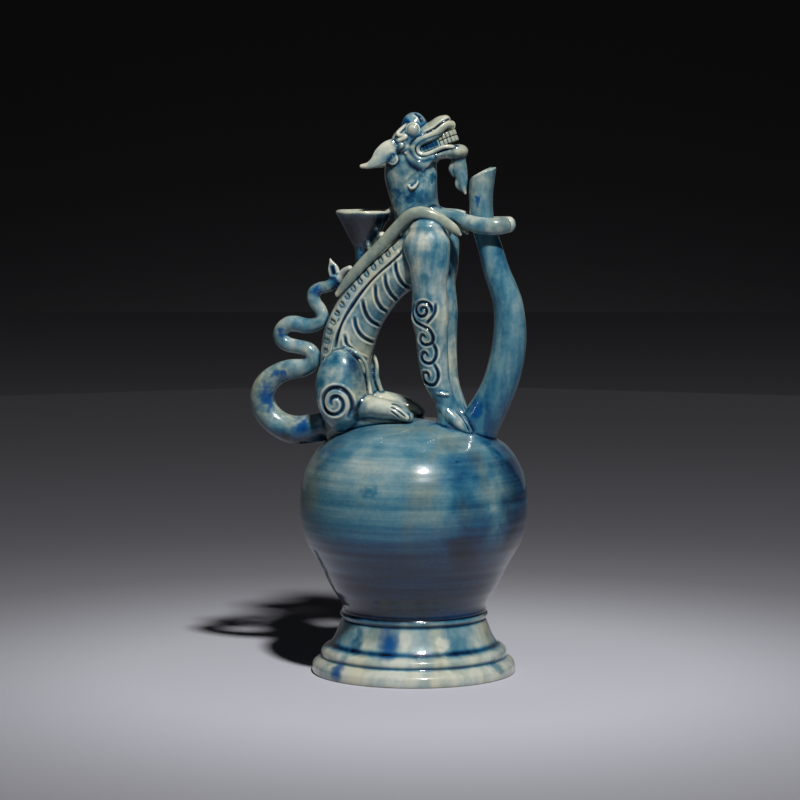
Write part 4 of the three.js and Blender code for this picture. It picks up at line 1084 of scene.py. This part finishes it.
UPPER_BAND = [
    (25.6, 4, -1.6, 1.3, 1.6), (25.6, 5.6, -2.2, 2, 2.2), (24, 6.4, -4, 2.2, 2.2),
    (21.6, 5.6, -5.6, 2.1, 2.2), (19.2, 4.5, -6.8, 1.9, 2.1), (16.2, 4, -7.4, 1.6, 2),
    (12.2, 3.9, -8.2, 1.4, 1.8),
    (8.2, 3.4, -8.9, 1.4, 1.6), (5, 2.1, -9.3, 1.4, 1.5), (3.1, -0.3, -9.4, 1.3, 1.4),
    (3, -3.1, -9.2, 1.3, 1.4), (4.8, -5.9, -8.8, 1.3, 1.4), (8.1, -7.3, -8.2, 1.3, 1.4),
    (12, -7.3, -7.6, 1.2, 1.2),
]
MOUTH_LIP = [
    (20.4, 2.6, -6.4, 0.6, 0.8), (17, 1.8, -7.4, 0.8, 1), (14, 1.6, -8, 0.9, 1.1),
    (10.8, 1.6, -8.5, 0.95, 1.1), (7.8, 1, -8.8, 1, 1.1), (6, -0.7, -9, 1, 1.1),
    (6, -2.9, -8.9, 1.1, 1.2), (7.9, -4.5, -8.6, 1.1, 1.3), (11.2, -4.9, -8.2, 1.1, 1.3),
    (15.2, -4.6, -7.8, 1.1, 1.3), (18.8, -4.4, -7.3, 1.1, 1.3), (22, -5.2, -6.2, 1, 1.2),
    (24.6, -6.6, -4.4, 0.6, 0.8),
]
MUZZLE = [
    (1.5, 4.9, 0, 6.7, 9.2), (9, 5.4, 0, 4.4, 8), (15.6, 7.2, 0, 3.8, 6.6), (20.4, 8.7, 0, 3.5, 5.2),
    (23.4, 8.9, 0, 2.9, 4),
]


def both(rows):
    """The rows of a right-hand roll, and those of its partner."""
    return rows, [(a, u, -s, depth, width) for a, u, s, depth, width in rows]


head_forms = [
    head_lump(0.6, 3.9, 0, (10, 10.2, 9.4)),
    head_roll(MUZZLE, 28, 5),
    # The gum behind the teeth closes the gaps between them.
    head_lump(8, -0.4, 0, (16.2, 5.4, 4.6)),
]
head_forms += [head_roll(rows, 16, 5) for rows in both(UPPER_BAND)]
head = piece("head_clay", pressed(head_forms), ["head"], "celadon_glaze", glaze_head)
head.smooth(2)
head.incise(
    head_strokes(
        [(-2.2, 9.6), (-4.4, 8.6), (-6.1, 5.9), (-6.4, 3.6), (-7.4, 1.6)],
        [(27, 8.6), (24.3, 8.5), (21.3, 7.6), (18.1, 6.3), (15, 5.9), (11.7, 5.7)],
    ),
    0.55, 0.6, 0.2, both=True,
)
jaw_forms = [
    head_roll([(-2.4, -6, 0, 3.3, 8.7), (6, -7, 0, 3.2, 8.6), (13, -7.2, 0, 2.4, 7.6),
               (19, -7.8, 0, 3.1, 7), (24, -8.8, 0, 3.8, 5.4)], 28, 5),
    head_lump(24.2, -9, 0, (5.4, 6.4, 3.9), -0.2),
]
jaw = piece("jaw_clay", pressed(jaw_forms), ["lower_jaw"], "celadon_glaze", glaze_head)
jaw.smooth(2)
for rows, name in zip(both(MOUTH_LIP), ("right", "left")):
    lip_mesh = pressed([head_roll(rows, 14, 5)], SMALL_GRAIN)
    piece(f"lip_{name}", lip_mesh, [], "celadon_glaze", glaze_pale).smooth(1)
crest_mesh = pressed([head_lump(6.7, 12.4, 0, (6.5, 6, 6.7))])
crest = piece("crest_clay", crest_mesh, ["crest"], "cobalt_glaze", glaze_crest)
crest.smooth(2)
crest.incise(head_strokes([(9.6, 18.2), (11.4, 15.6), (12, 12)]), 0.6, 0.7, 0.3, both=True)

# Small forms of the head


def small_pair(name, forms, node_name, glazed, slot="ivory_glaze"):
    """A small piece on the animal's right side, and its partner on the left."""
    small = piece(f"{name}_right", pressed(forms, FINE_GRAIN), [f"{node_name}_right"], slot, glazed)
    small.smooth(1)
    other_side(small)


small_pair(
    "eye_clay",
    [head_lump(6.9, 9.8, -8, (3.1, 2.6, 3.1)), ring(on_head(6.9, 9.8, -8.3), 3.2, 0.7)],
    "eye",
    glaze_pale,
)
small_pair(
    "ear_clay",
    [head_roll([
        (-3.4, 5, -8.8, 3.4, 2), (-8, 4.4, -10.6, 4.7, 2.2), (-12.8, 2.7, -11.8, 4.4, 2),
        (-17.2, 0.4, -12.6, 3.1, 1.7), (-21.2, -0.2, -13.1, 1.9, 1.4), (-25, 0.7, -13.4, 1.1, 1)], 18, 5)],
    "ear",
    glaze_head,
    "celadon_glaze",
)
small_pair(
    "button_clay",
    [head_lump(-8.4, -1.4, -11, (2.2, 1.4, 2.2)), ring(on_head(-8.4, -1.4, -11.2), 2.3, 0.7)],
    "ear_boss",
    glaze_pale,
)
small_pair(
    "curl_clay",
    [head_roll([
        (4.8, 13.6, -5.6, 0.7, 0.8), (1, 12.4, -6.9, 0.9, 1), (-1.8, 10.6, -8.4, 0.9, 1),
        (-0.2, 8.9, -9.5, 0.9, 1), (2, 7.6, -10.1, 1.2, 1.1), (-0.8, 6.9, -10.4, 0.9, 1),
        (-4.6, 7, -9.8, 0.8, 1), (-3.4, 5, -10.3, 0.8, 1), (-1.2, 3.9, -10.5, 1, 1.1),
        (-3.9, 2.6, -10.1, 0.8, 1), (-6.5, 1.3, -9.4, 0.6, 0.8)], 12, 5)],
    "brow_curl",
    glaze_pale,
)
small_pair(
    "frill_clay",
    [
        head_roll([(1.4, -0.8, -9.6, 1.4, 1.3), (0.9, -4, -9.9, 2, 1.5), (1.8, -7.2, -9.7, 2.3, 1.5),
                   (4, -9, -9.2, 2.2, 1.5), (7, -9.6, -8.6, 1.9, 1.4), (10, -8.8, -8, 1.3, 1.3)], 14, 5),
        head_roll([(1, -1.6, -9.8, 1.2, 1.1), (-0.8, -0.6, -10, 0.5, 0.5)], 10),
        head_roll([(3.4, -9.6, -9.4, 1.5, 1.2), (2.6, -11.2, -9.4, 0.6, 0.5)], 10),
        head_roll([(5.6, -10, -9, 1.6, 1.2), (4.8, -12.4, -9, 0.5, 0.5)], 10),
    ],
    "cheek_frill",
    glaze_pale,
    "celadon_glaze",
)
beard = piece(
    "beard_clay",
    pressed([
        head_roll([(24.6, -10.5, 0, 2.4, 2.4), (22.8, -15.2, 0, 3.7, 3), (21.8, -19.5, 0, 3.8, 2.9),
                   (21.2, -24, 0, 3, 2.4), (20.4, -28, 0, 1.9, 1.7), (20.4, -31.2, 0, 0.7, 0.7)], 18, 5),
        head_roll([(21.4, -13, 0, 1.8, 2), (18.4, -16.8, 0, 2.4, 1.9), (17.6, -19.8, 0, 1, 1)], 14),
        head_roll([(20.2, -22, 0, 1.8, 1.8), (18.2, -25.6, 0, 1.7, 1.5), (18.6, -28.4, 0, 0.7, 0.7)], 14),
    ]),
    ["beard"],
    "teal_glaze",
    glaze_arm,
)
beard.smooth(1)

# Teeth: small squares in two rows at the front, and three large ones in each cheek

# The arch is half an oval on the head, and this long round its front.
ARCH_BACK, ARCH_LONG, ARCH_HALF, ARCH_RUN = 7.0, 18.6, 6.6, 42.8
WORN_EDGE = 0.32


def tooth(angle, low, high, wide, thick):
    """A square tooth on the arch, with worn edges."""
    along = ARCH_BACK + ARCH_LONG * math.cos(angle)
    side = ARCH_HALF * math.sin(angle)
    facing = math.atan2(side / ARCH_HALF**2, (along - ARCH_BACK) / ARCH_LONG**2)
    bm = bmesh.new()
    bmesh.ops.create_cube(bm, size=1)
    bmesh.ops.scale(bm, vec=(thick, wide, high - low), verts=bm.verts)
    bmesh.ops.bevel(
        bm,
        geom=bm.verts[:] + bm.edges[:] + bm.faces[:],
        offset=WORN_EDGE,
        offset_type="OFFSET",
        segments=3,
        profile=0.5,
        affect="EDGES",
        material=-1,
    )
    turn = (head_turn @ Quaternion((0, 0, 1), facing)).to_matrix().to_4x4()
    matrix = Matrix.Translation(on_head(along, (low + high) / 2, side)) @ turn
    bmesh.ops.transform(bm, matrix=matrix, verts=bm.verts)
    return bm


def arch_angle(share):
    """The arch's angle at a share of its length from one cheek to the other."""
    angles = np.linspace(-math.pi / 2, math.pi / 2, 400)
    steps = np.hypot(ARCH_LONG * np.diff(np.cos(angles)), ARCH_HALF * np.diff(np.sin(angles)))
    done = run_along(steps)
    return float(np.interp(share * done[-1], done, angles))


FRONT_TEETH, CHEEK_TEETH, CHEEK_SHARE = 10, 3, 0.25
PARTING = 0.35


def row_of_teeth(count, first, last, low, high, thick, rise=0.0):
    """Teeth of one size between two shares of the arch, parted by narrow gaps."""
    wide = ARCH_RUN * (last - first) / count - PARTING
    forms = []
    for k in range(count):
        share = first + (k + 0.5) / count * (last - first)
        lift = rise * math.sin(math.pi * share) ** 2
        forms.append(tooth(arch_angle(share), low + lift, high + lift, wide, thick))
    return forms


upper = row_of_teeth(FRONT_TEETH, CHEEK_SHARE, 1 - CHEEK_SHARE, -1, 1.7, 2.2, 1)
lower = row_of_teeth(FRONT_TEETH, CHEEK_SHARE, 1 - CHEEK_SHARE, -4.2, -1.5, 2.2, 1)
cheek = row_of_teeth(CHEEK_TEETH, 0, CHEEK_SHARE, -3.4, 1, 2.4)
cheek += row_of_teeth(CHEEK_TEETH, 1 - CHEEK_SHARE, 1, -3.4, 1, 2.4)
teeth = (
    piece("upper_teeth_clay", as_mesh(upper), ["upper_teeth"], "ivory_glaze", glaze_tooth),
    piece("lower_teeth_clay", as_mesh(lower), ["lower_teeth"], "ivory_glaze", glaze_tooth),
    piece("cheek_teeth_clay", pressed(cheek, FINE_GRAIN), [], "ivory_glaze", glaze_cheek),
)

# Joins, glaze and finishing

strips = [clay for clay in made if clay.name.startswith("pinched_strip")]
lute([clay for clay in made if clay not in teeth and clay not in strips])
for clay in made:
    if clay not in teeth[:2]:
        clay.weather()
    clay.finish()

# Stage: a pale floor that fades to a dark backdrop, in a dim room; the fades are painted light falloff

PAPER_ROUGH = 0.9
# The paper's tint is cool, and this is how much of the light it reflects at a distance in metres: on the
# floor from the ewer's axis, and on the backdrop up from its foot. Pale round the ewer and dark further
# off, it is a painted pool of light on the floor and painted shade up the backdrop.
COOL = (0.985, 0.985, 1.03)
FLOOR_PAINTED_FALLOFF = (
    (0, 0.53), (0.15, 0.53), (0.2, 0.46), (0.25, 0.38), (0.3, 0.3), (0.36, 0.24), (0.53, 0.16),
    (0.75, 0.15), (1.02, 0.14), (1.37, 0.13), (1.82, 0.14), (2.43, 0.15), (3, 0.165),
)
BACKDROP_PAINTED_FALLOFF = (
    (0, 0.09), (0.02, 0.074), (0.08, 0.05), (0.14, 0.04), (0.2, 0.03), (0.32, 0.025), (0.45, 0.022),
)
FLOOR_REACH, BACKDROP_HALF, BACKDROP_AWAY = 4, 6, 3.0
# The backdrop's fade is measured from a point this far below it, and ends this far up.
BELOW, FADE_HIGH = 4.0, 0.5


def stage_form(name, form, place, reach, stops, shift):
    """A floor or backdrop whose colour fades between the stops, from one distance to another, as painted
    light falloff.
    """
    paper = bpy.data.materials.new(name)
    paper.use_nodes = True
    tree = paper.node_tree
    at = node(tree, "ShaderNodeTexCoord").outputs["Object"]
    far = node(tree, "ShaderNodeVectorMath", {"operation": "DISTANCE"}, at, place)
    share = node(tree, "ShaderNodeMapRange", (), far.outputs["Value"], *reach)
    band = node(tree, "ShaderNodeValToRGB", (), share)
    set_stops(band.color_ramp, stops)
    shader = tree.nodes["Principled BSDF"]
    tree.links.new(band.outputs["Color"], shader.inputs["Base Color"])
    shader.inputs["Roughness"].default_value = PAPER_ROUGH
    shader.inputs["Specular IOR Level"].default_value = 0.0
    mesh = bpy.data.meshes.new(name)
    form.to_mesh(mesh)
    form.free()
    mesh.materials.append(paper)
    holder = bpy.data.objects.new(name, mesh)
    holder.location = shift
    bpy.context.scene.collection.objects.link(holder)


def grey(share):
    """The code of a cool grey that reflects that share of the light."""
    value = 1.055 * share ** (1 / 2.4) - 0.055
    return "#%02x%02x%02x" % tuple(round(255 * min(1, value * tint)) for tint in COOL)


floor_form = bmesh.new()
bmesh.ops.create_circle(floor_form, cap_ends=True, segments=96, radius=FLOOR_REACH)
stage_form(
    "pale_paper_floor", floor_form, (0, 0, 0), (0, BACKDROP_AWAY),
    [(far / BACKDROP_AWAY, grey(share)) for far, share in FLOOR_PAINTED_FALLOFF], (POT_AXIS, 0, 0),
)
backdrop_form = bmesh.new()
bmesh.ops.create_grid(backdrop_form, x_segments=2, y_segments=2, size=BACKDROP_HALF)
upright = Matrix.Rotation(CAMERA_TURN, 3, "Z") @ Matrix.Rotation(math.pi / 2, 3, "X")
bmesh.ops.rotate(backdrop_form, verts=backdrop_form.verts, cent=(0, 0, 0), matrix=upright)
bmesh.ops.translate(backdrop_form, vec=(0, 0, BACKDROP_HALF), verts=backdrop_form.verts)
stage_form(
    "dark_paper_backdrop", backdrop_form, (0, 0, -BELOW), (BELOW, BELOW + FADE_HIGH),
    [(high / FADE_HIGH, grey(share)) for high, share in BACKDROP_PAINTED_FALLOFF],
    (POT_AXIS - BACKDROP_AWAY * math.sin(CAMERA_TURN), BACKDROP_AWAY * math.cos(CAMERA_TURN), 0),
)

ROOM_TINT, ROOM_GLOW = "#8a8c94", 0.008
world = bpy.data.worlds.new("dim studio")
world.use_nodes = True
room = world.node_tree.nodes["Background"]
room.inputs["Color"].default_value = srgb(ROOM_TINT)
room.inputs["Strength"].default_value = ROOM_GLOW
bpy.context.scene.world = world
bpy.context.scene.view_settings.view_transform = "Standard"

LIGHTS_AWAY, AIM_HEIGHT = 1.6, 0.15


def soft_light(name, turn, rise, size, power):
    """A round softbox, turned round from the front and raised, aimed at the ewer's middle."""
    lamp = bpy.data.lights.new(name, "AREA")
    lamp.shape, lamp.size, lamp.energy = "DISK", size, power
    holder = bpy.data.objects.new(name, lamp)
    turn, rise = math.radians(turn), math.radians(rise)
    way = Vector((math.sin(turn) * math.cos(rise), -math.cos(turn) * math.cos(rise), math.sin(rise)))
    holder.location = Vector((POT_AXIS, 0, AIM_HEIGHT)) + way * LIGHTS_AWAY
    holder.rotation_mode = "QUATERNION"
    holder.rotation_quaternion = way.to_track_quat("Z", "Y")
    # The two lights behind the ewer aren't seen themselves.
    holder.visible_camera = False
    bpy.context.scene.collection.objects.link(holder)


set_camera()
soft_light("key", 26, 51, 0.14, 30)
soft_light("rim_right", 174, 12, 1.3, 0.4)
soft_light("rim_left", -148, 12, 1.3, 0.3)
